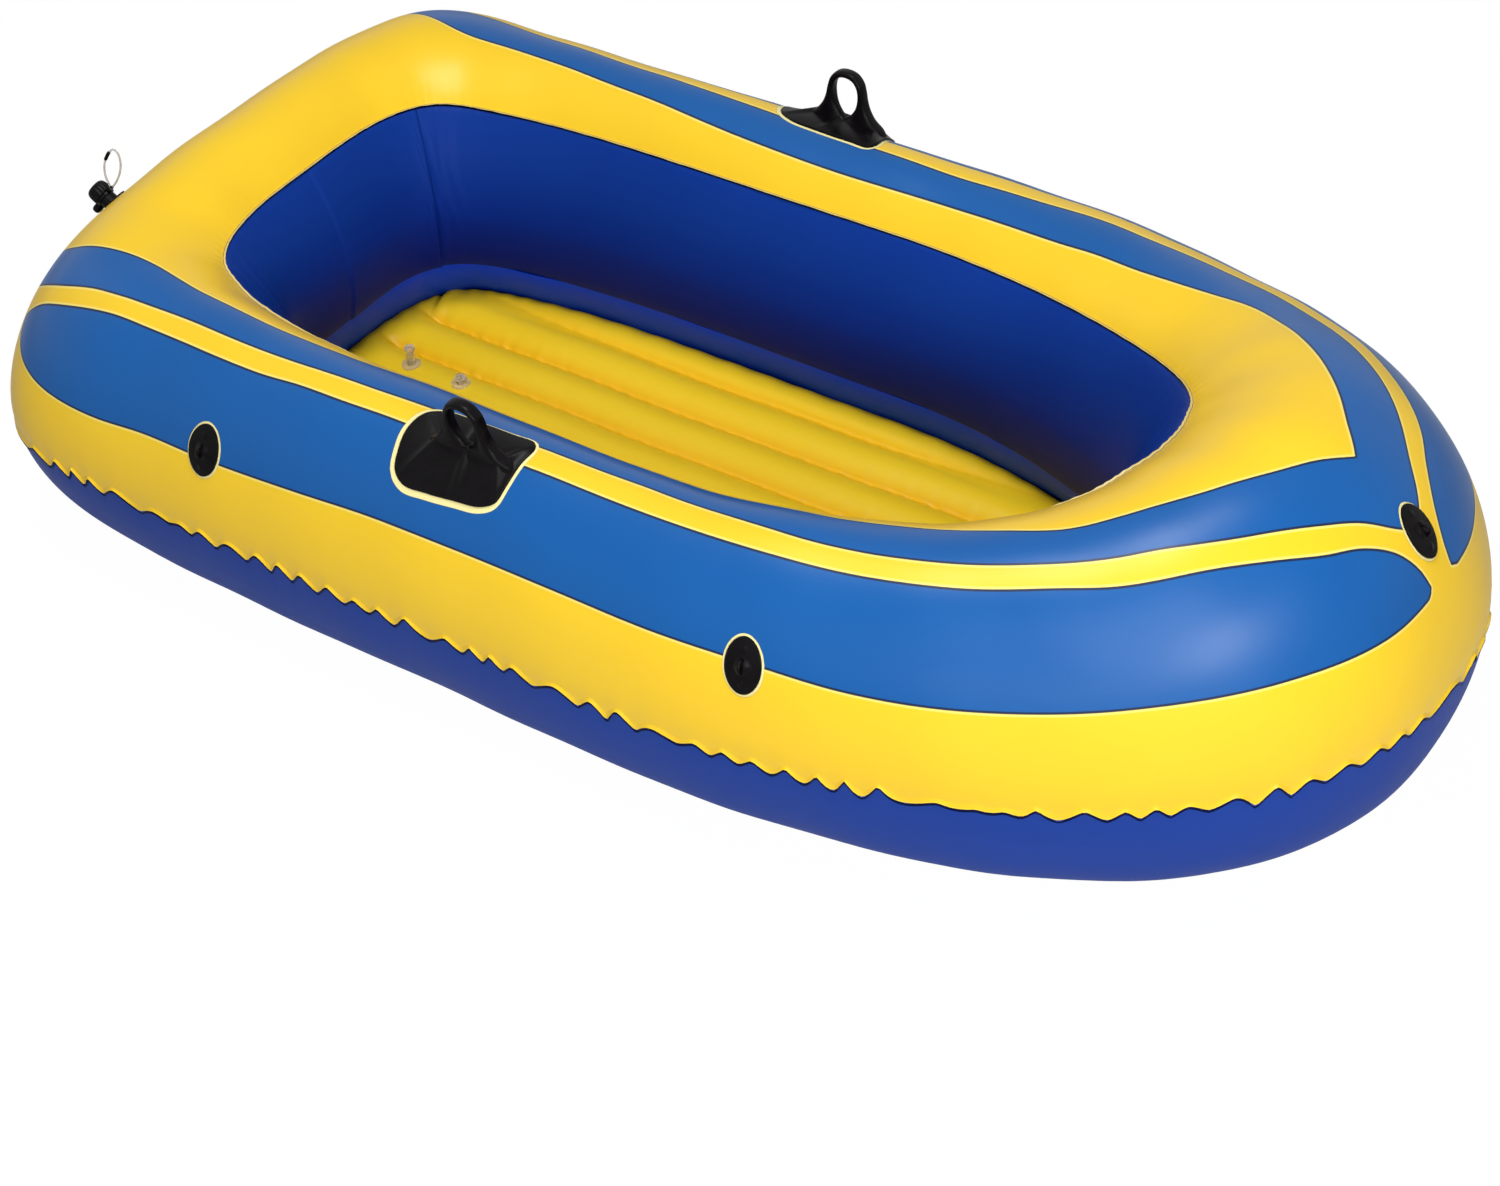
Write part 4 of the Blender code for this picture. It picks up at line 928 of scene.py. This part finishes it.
def wall_relief(ring, down):
    """Soft upright folds where the wall turns its corners, and the lap where its ends meet."""
    corner = (np.exp(-((ring - port(0.17)) / 0.022) ** 2)
              + np.exp(-((ring - starboard(0.17)) / 0.022) ** 2))
    bow = np.exp(-((ring - 0.5) / 0.07) ** 2)
    folds = (np.sin(math.tau * (70 * ring + 0.5 * np.sin(math.tau * down))) * corner * 0.0005
             + np.sin(math.tau * (46 * ring + 0.2 * down)) * bow * 0.0010)
    lap = metres_from_lap(ring, down)
    step = 0.0011 * (1.0 - np.tanh(lap / 0.0022))
    pull = -0.0022 * np.exp(-(lap / 0.009) ** 2) + 0.0012 * np.exp(-((lap - 0.034) / 0.018) ** 2)
    pinch = np.zeros_like(ring)
    for at, level, size in LAP_PINCHES:
        slant = lap - at - 0.10 * (down - level)
        pinch = pinch + size * np.exp(-(slant / 0.0035) ** 2 - ((down - level) / 0.05) ** 2)
    slow = 0.0008 * np.sin(math.tau * 11 * ring + 2.5 * down)
    fade = np.sin(math.pi * np.clip(down, 0, 1)) ** 0.4
    return (folds + pull - 0.0016 * pinch) * fade + step + slow


LAP_CROWDING = 0.62


def make_wall_film():
    """The wall's columns stand closer together near its lap."""
    even = np.linspace(0, 1, RING_STEPS, endpoint=False)
    crowded = even - LAP_CROWDING * np.sin(math.tau * (even - LAP_SEAM_RING)) / math.tau
    ring = np.mod(crowded, 1.0)
    base = np.linspace(0, 1, WALL_ROWS)
    start, end = INNER_SEAM - WALL_TUCK, WALL_FOOT
    angles = np.broadcast_to((start + (end - start) * base)[None], (len(ring), len(base))).copy()
    rings = np.broadcast_to(ring[:, None], angles.shape)
    down = np.broadcast_to(base[None], angles.shape)
    off = section_metres(ring, angles)
    relief = (inner_seam_relief(rings, off) + wall_relief(rings, down)
              - 0.0012 * np.exp(-(off[:, -1:] - off) / 0.006))
    relief[:, 0] = np.minimum(relief[:, 0], -0.0022)
    points = film_points(rings, angles, relief)
    rows = [points[:, k] for k in range(points.shape[1])]
    # down and top_edge also mask the wall's painted shade and painted shadow
    values = {"lap": metres_from_lap(rings, down), "down": down, "top_edge": off}
    mesh = closed_film("inner_wall_film", rows, values, back_rows(len(rows), 1, 1), inward_of(rows))
    finish_film("inner_wall_film", mesh, (0.25, 165.0), WALL_FILM, "inner_wall_panel")


def make_bottom_film():
    """The sheet under the well, drawn a little slack, with its rim on the tube's keel."""
    ring = np.arange(BOTTOM_STEPS) / BOTTOM_STEPS
    keel = tube_point(ring, np.full(BOTTOM_STEPS, -90.0))
    beside = tube_point(ring, np.full(BOTTOM_STEPS, -97.0))
    rim = keel + (beside - keel) * 0.35
    rows = []
    for share in (1.0, 0.985, 0.96, 0.9, 0.8, 0.66, 0.5, 0.34, 0.17, 0.0):
        spot = rim * np.array([share, share, 0.0])
        ripple = 0.00025 * np.sin(40 * ring * math.tau) * (1 - share) * share * 4
        spot[:, 2] = 0.0004 + np.abs(ripple) + np.where(share == 1.0, rim[:, 2], 0.0)
        rows.append(spot)
    inward = np.broadcast_to(np.array([0.0, 0.0, 1.0]), (BOTTOM_STEPS, len(rows), 3))
    mesh = closed_film("bottom_film", rows, {}, list(range(len(rows)))[::-1], inward)
    face_towards(mesh, (0.1, 0.01, 0.0), (0, 0, -1))
    made = piece("bottom_film", mesh, BOTTOM_FILM)
    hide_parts("bottom_sheet")


make_top_film()
make_lower_film()
make_wall_film()
make_bottom_film()

# ---------------------------------------------------------------- air floor

FLOOR_FOOT_Z, FLOOR_EQUATOR_Z, FLOOR_CROWN_Z = 0.0012, 0.038, 0.0655
CHANNEL_PITCH, CHANNEL_DEPTH, CHANNEL_ROUNDNESS = 0.074, 0.0195, 0.80
FLOOR_ROUND = 0.029
FLOOR_COLUMNS, FLOOR_ROWS, UNDER_ROWS = 900, 86, 16
FLOOR_GAP, FLOOR_SEARCH = 0.0006, 0.04
SPINE_STERN_MARGIN, SPINE_BOW_MARGIN = 0.24, 0.26
FOLD_PLACE, FOLD_ALONG, FOLD_ACROSS = (-0.680, 0.194), (0.28, -0.96), (0.96, 0.28)


def floor_edge(count):
    """The floor's edge round the whole boat, just clear of the tube at its own height."""
    ring = np.arange(count) / count
    scan = np.linspace(-90.0, WALL_FOOT - 360.0, 200)
    profile = tube_point(ring[:, None], scan[None])
    d = np.linspace(0, FLOOR_ROUND, 30)
    swell = np.sqrt(1 - (1 - d / FLOOR_ROUND) ** 2)
    shoulder = FLOOR_EQUATOR_Z + (FLOOR_CROWN_Z - FLOOR_EQUATOR_Z) * swell
    edge = np.empty((count, 2))
    for k in range(count):
        plan, height = profile[k, :, :2], profile[k, :, 2]
        wall = np.array([np.interp(FLOOR_EQUATOR_Z, height, plan[:, a]) for a in (0, 1)])
        inward = plan[-1] - plan[0]
        inward = inward / np.linalg.norm(inward)
        reach = (plan - wall) @ inward
        for clear in np.linspace(0, FLOOR_SEARCH, 161):
            if (np.interp(d + clear, reach, height) - shoulder).min() > FLOOR_GAP:
                break
        edge[k] = wall + inward * clear
    return ring, edge


def stern_fold(plan):
    """The slanting fold across the channels' ends by the stern's port corner: a furrow and
    a soft ridge beside it."""
    away = plan - np.array(FOLD_PLACE)
    u, v = away @ np.array(FOLD_ALONG), away @ np.array(FOLD_ACROSS)
    furrow = np.exp(-(v / 0.0045) ** 2) * np.clip(1 - np.abs(u) / 0.055, 0, 1)
    ridge = np.exp(-((v - 0.012) / 0.008) ** 2) * np.clip(1 - np.abs(u) / 0.05, 0, 1)
    return 0.004 * ridge - 0.009 * furrow


def make_floor():
    """Channels run fore and aft with creases between them, which die out near the edge."""
    ring, edge = floor_edge(FLOOR_COLUMNS)
    for _ in range(6):
        edge = 0.5 * edge + 0.25 * (np.roll(edge, 1, 0) + np.roll(edge, -1, 0))
    aft, fore = edge[:, 0].min() + SPINE_STERN_MARGIN, edge[:, 0].max() - SPINE_BOW_MARGIN
    spine = np.stack([np.clip(edge[:, 0], aft, fore), np.zeros(FLOOR_COLUMNS)], 1)
    t = np.linspace(0, 1, FLOOR_ROWS) ** 1.25
    plan = edge[:, None] + (spine - edge)[:, None] * t[None, :, None]
    off = np.linalg.norm(spine - edge, axis=1)[:, None] * t[None]
    x, y = plan[..., 0], plan[..., 1]
    swell = np.sqrt(np.clip(1 - (1 - np.clip(off / FLOOR_ROUND, 0, 1)) ** 2, 0, 1))
    fade = np.clip((off - 0.012) / 0.050, 0.0, 1.0) ** 1.5
    wander = 0.0012 * np.sin(9 * x + 3) + 0.0008 * np.sin(23 * x + 1)
    cell = (y + wander) / CHANNEL_PITCH
    arc = np.abs(np.sin(math.pi * cell)) ** CHANNEL_ROUNDNESS
    channel = np.rint(cell)
    nearest = np.abs(cell - channel) * CHANNEL_PITCH
    tug = sum(size * np.sin(math.tau * x / pitch + turn * channel) * np.exp(-nearest / reach)
              for size, pitch, turn, reach in ((0.0007, 0.031, 2.3, 0.011),
                                               (0.0005, 0.019, 1.7, 0.007)))
    rim = 0.0008 * np.sin(math.tau * ring * 74 + 1.2 * np.sin(math.tau * 9 * ring))[:, None]
    top = (FLOOR_EQUATOR_Z + (FLOOR_CROWN_Z - FLOOR_EQUATOR_Z) * swell
           + (tug - CHANNEL_DEPTH * (1 - arc)) * fade
           + rim * np.exp(-((off - 0.018) / 0.012) ** 2) + stern_fold(plan))
    low = FLOOR_EQUATOR_Z - (FLOOR_EQUATOR_Z - FLOOR_FOOT_Z) * swell
    points = np.concatenate([plan, top[..., None]], 2)
    kept = np.rint(np.linspace(0, FLOOR_ROWS - 1, UNDER_ROWS)).astype(int)
    under = np.concatenate([plan, low[..., None]], 2)[:, kept]
    mesh, i, j = bent_grid("air_floor", FLOOR_COLUMNS, FLOOR_ROWS - 1, points, True)
    # mask of the floor's painted crease shade
    store(mesh, "crease_shade", (np.exp(-(nearest / 0.0095) ** 2) * fade)[i, j])
    below, _, _ = bent_grid("floor_under", FLOOR_COLUMNS, UNDER_ROWS - 1, under, True)
    merge_doubles(mesh, FLOOR_MERGE, other=below)
    bpy.data.meshes.remove(below)
    face_towards(mesh, (0.0, 0.02, 0.066), (0, 0, 1))
    floor = piece("air_floor", mesh, FLOOR_FILM)
    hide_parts("floor_top_sheet", "floor_bottom_sheet")


make_floor()

# ---------------------------------------------------------------- black fittings

def closed_skin(name, rings):
    """A closed skin through rings of points, drawn to a point at both ends."""
    first, last = (np.repeat(ring.mean(0)[None], len(ring), 0) for ring in (rings[0], rings[-1]))
    points = np.stack([first, *rings, last], axis=1)
    mesh, _, _ = bent_grid(name, points.shape[0], points.shape[1] - 1, points, True)
    merge_doubles(mesh, SKIN_MERGE)
    return mesh


ROD_CAP = ((0.45, 0.88), (0.80, 0.55))


def rod(name, path, radius, sides, reference):
    """A round rod along a path with rounded ends."""
    tangent = unit(np.gradient(path, axis=0))
    one = unit(reference - tangent * (tangent @ reference)[:, None])
    two = np.cross(tangent, one)
    turn = np.arange(sides) / sides * math.tau
    rings = [path[k] + radius[k] * (np.cos(turn)[:, None] * one[k] + np.sin(turn)[:, None] * two[k])
             for k in range(len(path))]
    start, end = ([path[k] + (rings[k] - path[k]) * draw + tangent[k] * way * radius[k] * lift
                   for lift, draw in ROD_CAP] for k, way in ((0, -1.0), (-1, 1.0)))
    return closed_skin(name, [*start[::-1], *rings, *end])


PLATE_FACE = (*np.linspace(0.02, 0.93, 44), 0.955, 0.975)
PLATE_RIM = ((0.988, 0.06), (0.996, 0.25), (1.0, 0.55))
PLATE_BACK = ((1.0, -0.0008), (0.985, -0.0014), (0.6, -0.0020), (0.05, -0.0020))


def moulded_plate(name, place, outline, thickness, crown, node):
    """A plate that follows the tube, with a raised crown, a rounded rim and a flat back."""
    rows = []
    for share in PLATE_FACE:
        spots = outline * share
        rows.append((spots, thickness + crown(spots, share)))
    for share, drop in PLATE_RIM:
        rows.append((outline * share, np.full(len(outline), thickness * (1 - drop))))
    for share, depth in PLATE_BACK:
        rows.append((outline * share, np.full(len(outline), depth)))
    rings = [patch_points(place, spots[:, 0], spots[:, 1], height) for spots, height in rows]
    made = piece(name, closed_skin(name, rings), RUBBER, smooth=False)
    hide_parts(node)


RIDGE_HALF, RIDGE_HEIGHT, RIDGE_FLANK = 0.043, 0.0135, 0.009
RIB_HEIGHT, RIB_FLANK, RIB_SHARE, RIM_FADE = 0.0008, 0.0055, 0.38, 0.010
RIBS = (((-0.043, 0.0), (-0.087, 0.036)), ((-0.043, 0.0), (-0.083, -0.050)),
        ((0.0, 0.0), (-0.004, -0.052)), ((0.043, 0.0), (0.056, -0.040)),
        ((0.043, 0.0), (0.066, 0.042)), ((-0.004, 0.0), (-0.016, 0.046)))


def oarlock_crown(outline):
    """A hipped mound under the ring, with ribs running out to the corners."""
    edge = np.concatenate([outline, outline[:1]])

    def crown(spots, share):
        ridge = np.array([[-RIDGE_HALF, 0.0], [RIDGE_HALF, 0.0]])
        to_ridge = distance_to_line(ridge, spots, 1.0)
        to_rim = distance_to_line(edge, spots, 1.0)
        rise = to_rim / (to_rim + to_ridge + 1e-6)
        rib = np.zeros(len(spots))
        for ends in RIBS:
            near = distance_to_line(np.array(ends), spots, 1.0)
            rib = np.maximum(rib, np.exp(-(near / RIB_FLANK) ** 2))
        rib = np.maximum(rib, np.exp(-(to_ridge / RIDGE_FLANK) ** 2))
        fade = np.clip(to_rim / RIM_FADE, 0.0, 1.0)
        ribbed = 1.0 - RIB_SHARE + RIB_SHARE * rib
        return RIDGE_HEIGHT * rise**1.5 * ribbed + RIB_HEIGHT * rib * fade
    return crown


DOME_HEIGHT = 0.0016
BOSS_HEIGHT, BOSS_REACH = 0.0034, 0.0085
PIP_HEIGHT, PIP_REACH, PIP_OFF = 0.0012, 0.0036, 0.021


def eyelet_crown(spots, share):
    """A low dome with a boss under the eye and a small pip near each end."""
    x, y = spots[:, 0], spots[:, 1]
    dome = DOME_HEIGHT * (1.0 - share**2)
    boss = BOSS_HEIGHT * np.exp(-(np.hypot(x, y) / BOSS_REACH) ** 4)
    pips = sum(PIP_HEIGHT * np.exp(-(np.hypot(x, y - at) / PIP_REACH) ** 2)
               for at in (-PIP_OFF, PIP_OFF))
    return dome + boss + pips


RING_OUTSIDE = (
    (0.0, 0.0818), (0.0135, 0.0788), (0.0228, 0.0690), (0.0268, 0.0565), (0.0296, 0.0430),
    (0.0345, 0.0305), (0.0435, 0.0180), (0.0575, 0.0070), (0.0600, -0.0030), (0.0300, -0.0045),
    (0.0, -0.0045))
RING_INSIDE = (
    (0.0, 0.0722), (0.0105, 0.0696), (0.0166, 0.0622), (0.0188, 0.0530), (0.0182, 0.0436),
    (0.0160, 0.0350), (0.0126, 0.0278), (0.0083, 0.0216), (0.0054, 0.0184), (0.0025, 0.0160),
    (0.0, 0.0148))
RING_DEPTH = (0.0080, 0.0081, 0.0083, 0.0085, 0.0087, 0.0089, 0.0093, 0.0098, 0.0100, 0.0101,
              0.0101)
RING_FOOT_Y, RING_FOOT_Z, RING_LEAN = 0.39572, 0.3995, 5.5
RING_SPAN, RING_SIDES, RING_SQUARENESS = 8, 28, 0.72


def both_halves(half):
    """A half outline from its top to its foot, then its mirror image back up."""
    return [*half, *[(-x, y) for x, y in half[-2:0:-1]]]


PLATE_THICKNESS, EYELET_THICKNESS = 0.0030, 0.0022
BAIL_STEPS, BAIL_SIDES = 30, 18


def make_oarlock(label, side):
    """The ribbed plate and the ring that stands on it, its sides rounder than its depth."""
    outline = plate_outline()
    moulded_plate("oarlock_plate_" + label, oarlock_place(side), outline, PLATE_THICKNESS,
                  oarlock_crown(outline), "oarlock_pad_" + label)
    outside = closed_spline(both_halves(RING_OUTSIDE), RING_SPAN)
    inside = closed_spline(both_halves(RING_INSIDE), RING_SPAN)
    count = len(outside)
    depth = np.interp(np.arange(count), np.arange(0, count + 1, RING_SPAN),
                      [*RING_DEPTH, *RING_DEPTH[-2:0:-1], RING_DEPTH[0]])
    lean = math.radians(RING_LEAN)
    up = np.array([0.0, side * math.sin(lean), math.cos(lean)])
    fore = np.array([1.0, 0.0, 0.0])
    across = np.cross(fore, up)
    foot = np.array([OARLOCK_X, side * RING_FOOT_Y, RING_FOOT_Z])
    turn = np.arange(RING_SIDES + 1) / RING_SIDES * math.tau
    middle, half = (outside + inside) / 2, (outside - inside) / 2
    outwards = signed_power(np.cos(turn), RING_SQUARENESS)[None, :, None]
    sideways = signed_power(np.sin(turn), RING_SQUARENESS)[None, :, None]
    plan = middle[:, None] + half[:, None] * outwards
    points = (foot + plan[..., :1] * fore + plan[..., 1:] * up
              + depth[:, None, None] * sideways * across)
    mesh, _, _ = bent_grid("oarlock_ring_" + label, count, RING_SIDES, points, True)
    merge_doubles(mesh, SKIN_MERGE)
    made = piece("oarlock_ring_" + label, mesh, RUBBER)
    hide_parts("oarlock_loop_" + label)


def make_eyelet(label):
    """The oval plate and the small bail on it that a rope goes through."""
    place = eyelet_place(label)
    moulded_plate("eyelet_plate_" + label, place, eyelet_outline(), EYELET_THICKNESS,
                  eyelet_crown, "eyelet_pad_" + label)
    turn = np.linspace(0.0, math.pi, BAIL_STEPS)
    path = patch_points(place, 0.0, 0.0070 * np.cos(turn) * (1 + 0.10 * np.sin(turn)),
                        0.0026 + 0.0100 * np.sin(turn) ** 0.85)
    along = tube_frame(np.float64(place[0]), np.float64(place[1]))[2]
    radius = 0.0021 + 0.0007 * np.abs(np.cos(turn)) ** 3
    name = "eyelet_bail_" + label
    made = piece(name, rod(name, path, radius, BAIL_SIDES, along), RUBBER)
    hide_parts("eyelet_eye_" + label)


for label, side in (("port", 1.0), ("starboard", -1.0)):
    make_oarlock(label, side)
for label in EYELET_PLACES:
    make_eyelet(label)

# ---------------------------------------------------------------- stern valve

VALVE_FOOT = np.array([-0.87658, -0.19048, 0.37383])
VALVE_OUT = unit(np.array([-0.82128, -0.05556, 0.56782]))
VALVE_UP = np.array([0.55156, 0.17718, 0.81510])
VALVE_UP = unit(VALVE_UP - VALVE_OUT * (VALVE_UP @ VALVE_OUT))
VALVE_SIDE = np.cross(VALVE_UP, VALVE_OUT)
CAP_RADIUS = 0.0150
CAP_PROFILE = ((0.02, 0.0267), (0.75, 0.0267), (0.79, 0.0262), (0.79, 0.0137), (0.82, 0.01345),
               (0.94, 0.01345), (0.985, 0.0139), (1.0, 0.0151), (1.0, 0.0180), (0.995, 0.0215),
               (0.97, 0.0248), (0.91, 0.0278), (0.81, 0.0300), (0.68, 0.0313), (0.56, 0.0316),
               (0.50, 0.0313), (0.46, 0.0306), (0.20, 0.0304))
CAP_GRIPS, CAP_GRIP_DEPTH = 12, 0.06
TAB_CENTRE, TAB_REACH = (0.0, -0.0226, 0.0118), (0.0080, 0.0074, 0.0056)
TETHER_FOOT = np.array([-0.8784, -0.1881, 0.3975])
TETHER_LINE = ((0.0024, -0.0018), (0.0074, 0.0021), (0.0147, 0.0132), (0.0201, 0.0282),
               (0.0212, 0.0420), (0.0190, 0.0514), (0.0149, 0.0552), (0.0098, 0.0517),
               (0.0054, 0.0455), (0.0014, 0.0373), (-0.0011, 0.0267), (-0.0015, 0.0159),
               (0.0002, 0.0055))
TETHER_RADIUS, SLEEVE_RADIUS = 0.00135, 0.0023
TETHER_RIGHT, WORLD_UP = unit(np.array([0.809, 0.588, 0.0])), np.array([0.0, 0.0, 1.0])
TETHER_SPAN, TETHER_SIDES = 12, 14
SLEEVE_START, SLEEVE_END, SLEEVE_SIDES = 86, 103, 20
CAP_STEPS, CAP_INSIDE_ROWS, TAB_STEPS = 144, 5, 48


def in_valve(side, up, out):
    """Points from metres aside, up and out along the valve's own axes."""
    return (VALVE_FOOT + np.asarray(side)[..., None] * VALVE_SIDE
            + np.asarray(up)[..., None] * VALVE_UP + np.asarray(out)[..., None] * VALVE_OUT)


def make_valve_cap():
    """A hollow screw cap: gripped sides, a wide rounded shoulder and a dished top."""
    turn = np.arange(CAP_STEPS) / CAP_STEPS * math.tau
    grip = (0.5 - 0.5 * np.cos(CAP_GRIPS * turn)) ** 3
    rings = []
    for k, (share, out) in enumerate(CAP_PROFILE):
        gripped = float(k >= CAP_INSIDE_ROWS) * min(1.0, max(0.0, (share - 0.6) / 0.3))
        radius = CAP_RADIUS * share * (1.0 - CAP_GRIP_DEPTH * grip * gripped)
        rings.append(in_valve(radius * np.cos(turn), radius * np.sin(turn), out))
    made = piece("stern_cap_knob", closed_skin("stern_cap_knob", rings), RUBBER,
                 "stern_cap")
    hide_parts("stern_valve_cap")


def make_finger_tab():
    """The thick pull tab moulded on the collar's lobe."""
    turn = np.arange(TAB_STEPS) / TAB_STEPS * math.tau
    rings = []
    for lean in np.radians(np.linspace(-84.0, 84.0, 17)):
        flat, rise = signed_power(math.cos(lean), 0.7), signed_power(math.sin(lean), 0.7)
        rings.append(in_valve(TAB_CENTRE[0] + TAB_REACH[0] * flat * np.cos(turn),
                              TAB_CENTRE[1] + TAB_REACH[1] * flat * np.sin(turn),
                              TAB_CENTRE[2] + TAB_REACH[2] * rise))
    piece("stern_collar_tab", closed_skin("stern_collar_tab", rings), RUBBER,
          "stern_collar")


def make_tether():
    """The thin see-through loop on the collar's ear, with a dark sleeve near its top."""
    line = closed_spline(TETHER_LINE, TETHER_SPAN)
    path = TETHER_FOOT + line[:, :1] * TETHER_RIGHT + line[:, 1:] * WORLD_UP
    ahead = unit(np.roll(path, -1, 0) - np.roll(path, 1, 0))
    off_plane = np.cross(TETHER_RIGHT, WORLD_UP)
    aside = unit(np.cross(ahead, off_plane))
    turn = np.arange(TETHER_SIDES + 1) / TETHER_SIDES * math.tau
    points = path[:, None] + TETHER_RADIUS * (
        np.cos(turn)[None, :, None] * aside[:, None] + np.sin(turn)[None, :, None] * off_plane)
    mesh, _, _ = bent_grid("stern_valve_loop", len(points), TETHER_SIDES, points, True)
    merge_doubles(mesh, SKIN_MERGE)
    made = piece("stern_valve_loop", mesh, TETHER_VINYL, "stern_collar")
    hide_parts("stern_valve_tether")
    covered = path[SLEEVE_START:SLEEVE_END]
    radius = np.full(len(covered), SLEEVE_RADIUS)
    sleeve = rod("stern_valve_sleeve", covered, radius, SLEEVE_SIDES, off_plane)
    made = piece("stern_valve_sleeve", sleeve, RUBBER, "stern_collar")
    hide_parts("stern_valve_bead")


make_valve_cap()
make_finger_tab()
make_tether()

# ---------------------------------------------------------------- finishes on the turned solids

for name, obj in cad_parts.items():
    if name.startswith(("stern_valve", "floor_valve")):
        obj.data.materials.clear()
        obj.data.materials.append(RUBBER if name.startswith("stern_valve") else CLEAR)

# ---------------------------------------------------------------- floor, backdrop and light

STUDIO_REACH, STUDIO_DROP = 14.0, 0.0005
STUDIO_GREY = (0.66, 0.66, 0.66)
WHITE = (1.0, 1.0, 1.0)
FLOOR_GLOW, FLOOR_GLOW_SHARE, FLOOR_MIRRORED = 1.03, 0.95, 0.15
ROOM_LIGHT, BACKDROP_GLOW, BACKDROP_MIRRORED = 0.06, 1.02, 1.0


def seen_rays(tree, mirrored):
    """One for rays that show the backdrop: the camera's and those through glass. Mirrored rays
    show it in part, as a white room darkens away from its lamps."""
    path = tree.nodes.new("ShaderNodeLightPath")
    part = arithmetic(tree, "MULTIPLY", path.outputs["Is Glossy Ray"], mirrored)
    seen = arithmetic(tree, "MAXIMUM", path.outputs["Is Camera Ray"], part)
    return arithmetic(tree, "MAXIMUM", seen, path.outputs["Is Transmission Ray"])


def shown_by(tree, share, lit, seen, out):
    """What lights the boat, with what the camera sees laid over it by its share."""
    mixer = tree.nodes.new("ShaderNodeMixShader")
    tree.links.new(share, mixer.inputs["Fac"])
    tree.links.new(lit, mixer.inputs[1])
    tree.links.new(seen, mixer.inputs[2])
    tree.links.new(mixer.outputs["Shader"], out.inputs["Surface"])


def make_ground():
    bm = bmesh.new()
    bmesh.ops.create_grid(bm, x_segments=1, y_segments=1, size=STUDIO_REACH)
    mesh = bpy.data.meshes.new("studio_floor")
    bm.to_mesh(mesh)
    bm.free()
    floor = bpy.data.objects.new("studio_floor", mesh)
    scene.collection.objects.link(floor)
    floor.location = (0, 0, -STUDIO_DROP)
    made, tree, shader = new_finish("white_studio_floor")
    feed(tree, shader.inputs["Base Color"], STUDIO_GREY)
    shader.inputs["Roughness"].default_value = 0.9
    glow = tree.nodes.new("ShaderNodeEmission")
    glow.inputs["Strength"].default_value = FLOOR_GLOW
    share = arithmetic(tree, "MULTIPLY", seen_rays(tree, FLOOR_MIRRORED), FLOOR_GLOW_SHARE)
    shown_by(tree, share, shader.outputs["BSDF"], glow.outputs["Emission"],
             tree.nodes["Material Output"])
    mesh.materials.append(made)


def backdrop(tree, strength):
    node = tree.nodes.new("ShaderNodeBackground")
    feed(tree, node.inputs["Color"], WHITE)
    node.inputs["Strength"].default_value = strength
    return node.outputs["Background"]


def make_world():
    world = bpy.data.worlds.new("studio")
    scene.world = world
    world.use_nodes = True
    tree = world.node_tree
    tree.nodes.clear()
    shown_by(tree, seen_rays(tree, BACKDROP_MIRRORED), backdrop(tree, ROOM_LIGHT),
             backdrop(tree, BACKDROP_GLOW), tree.nodes.new("ShaderNodeOutputWorld"))


def area_light(name, place, target, size, roll, power):
    data = bpy.data.lights.new(name, "AREA")
    data.shape = "RECTANGLE"
    data.size, data.size_y = size
    data.energy = power
    lamp = bpy.data.objects.new(name, data)
    way = (Vector(target) - Vector(place)).to_track_quat("-Z", "Y").to_matrix().to_4x4()
    lamp.matrix_world = (Matrix.Translation(place) @ way
                         @ Matrix.Rotation(math.radians(roll), 4, "Z"))
    scene.collection.objects.link(lamp)


make_ground()
make_world()
area_light("bow_softbox", (2.48, -1.72, 1.40), (0.75, -0.25, 0.40), (1.15, 0.50), 25, 31.0)
area_light("bow_strip", (1.60, -3.20, 0.98), (0.60, -0.35, 0.35), (1.7, 0.30), 8, 8.0)
area_light("overhead_softbox", (0.1, -0.6, 4.0), (0.0, 0.0, 0.0), (1.6, 1.6), 0, 95.0)
area_light("front_softbox", (2.2, -3.0, 2.9), (0.0, 0.0, 0.2), (2.2, 2.2), 0, 61.0)
area_light("side_fill", (0.4, -3.6, 1.6), (0.0, 0.0, 0.2), (1.8, 1.8), 0, 4.0)
area_light("stern_fill", (-3.0, -0.6, 2.4), (0.0, 0.0, 0.2), (1.6, 1.6), 0, 4.0)
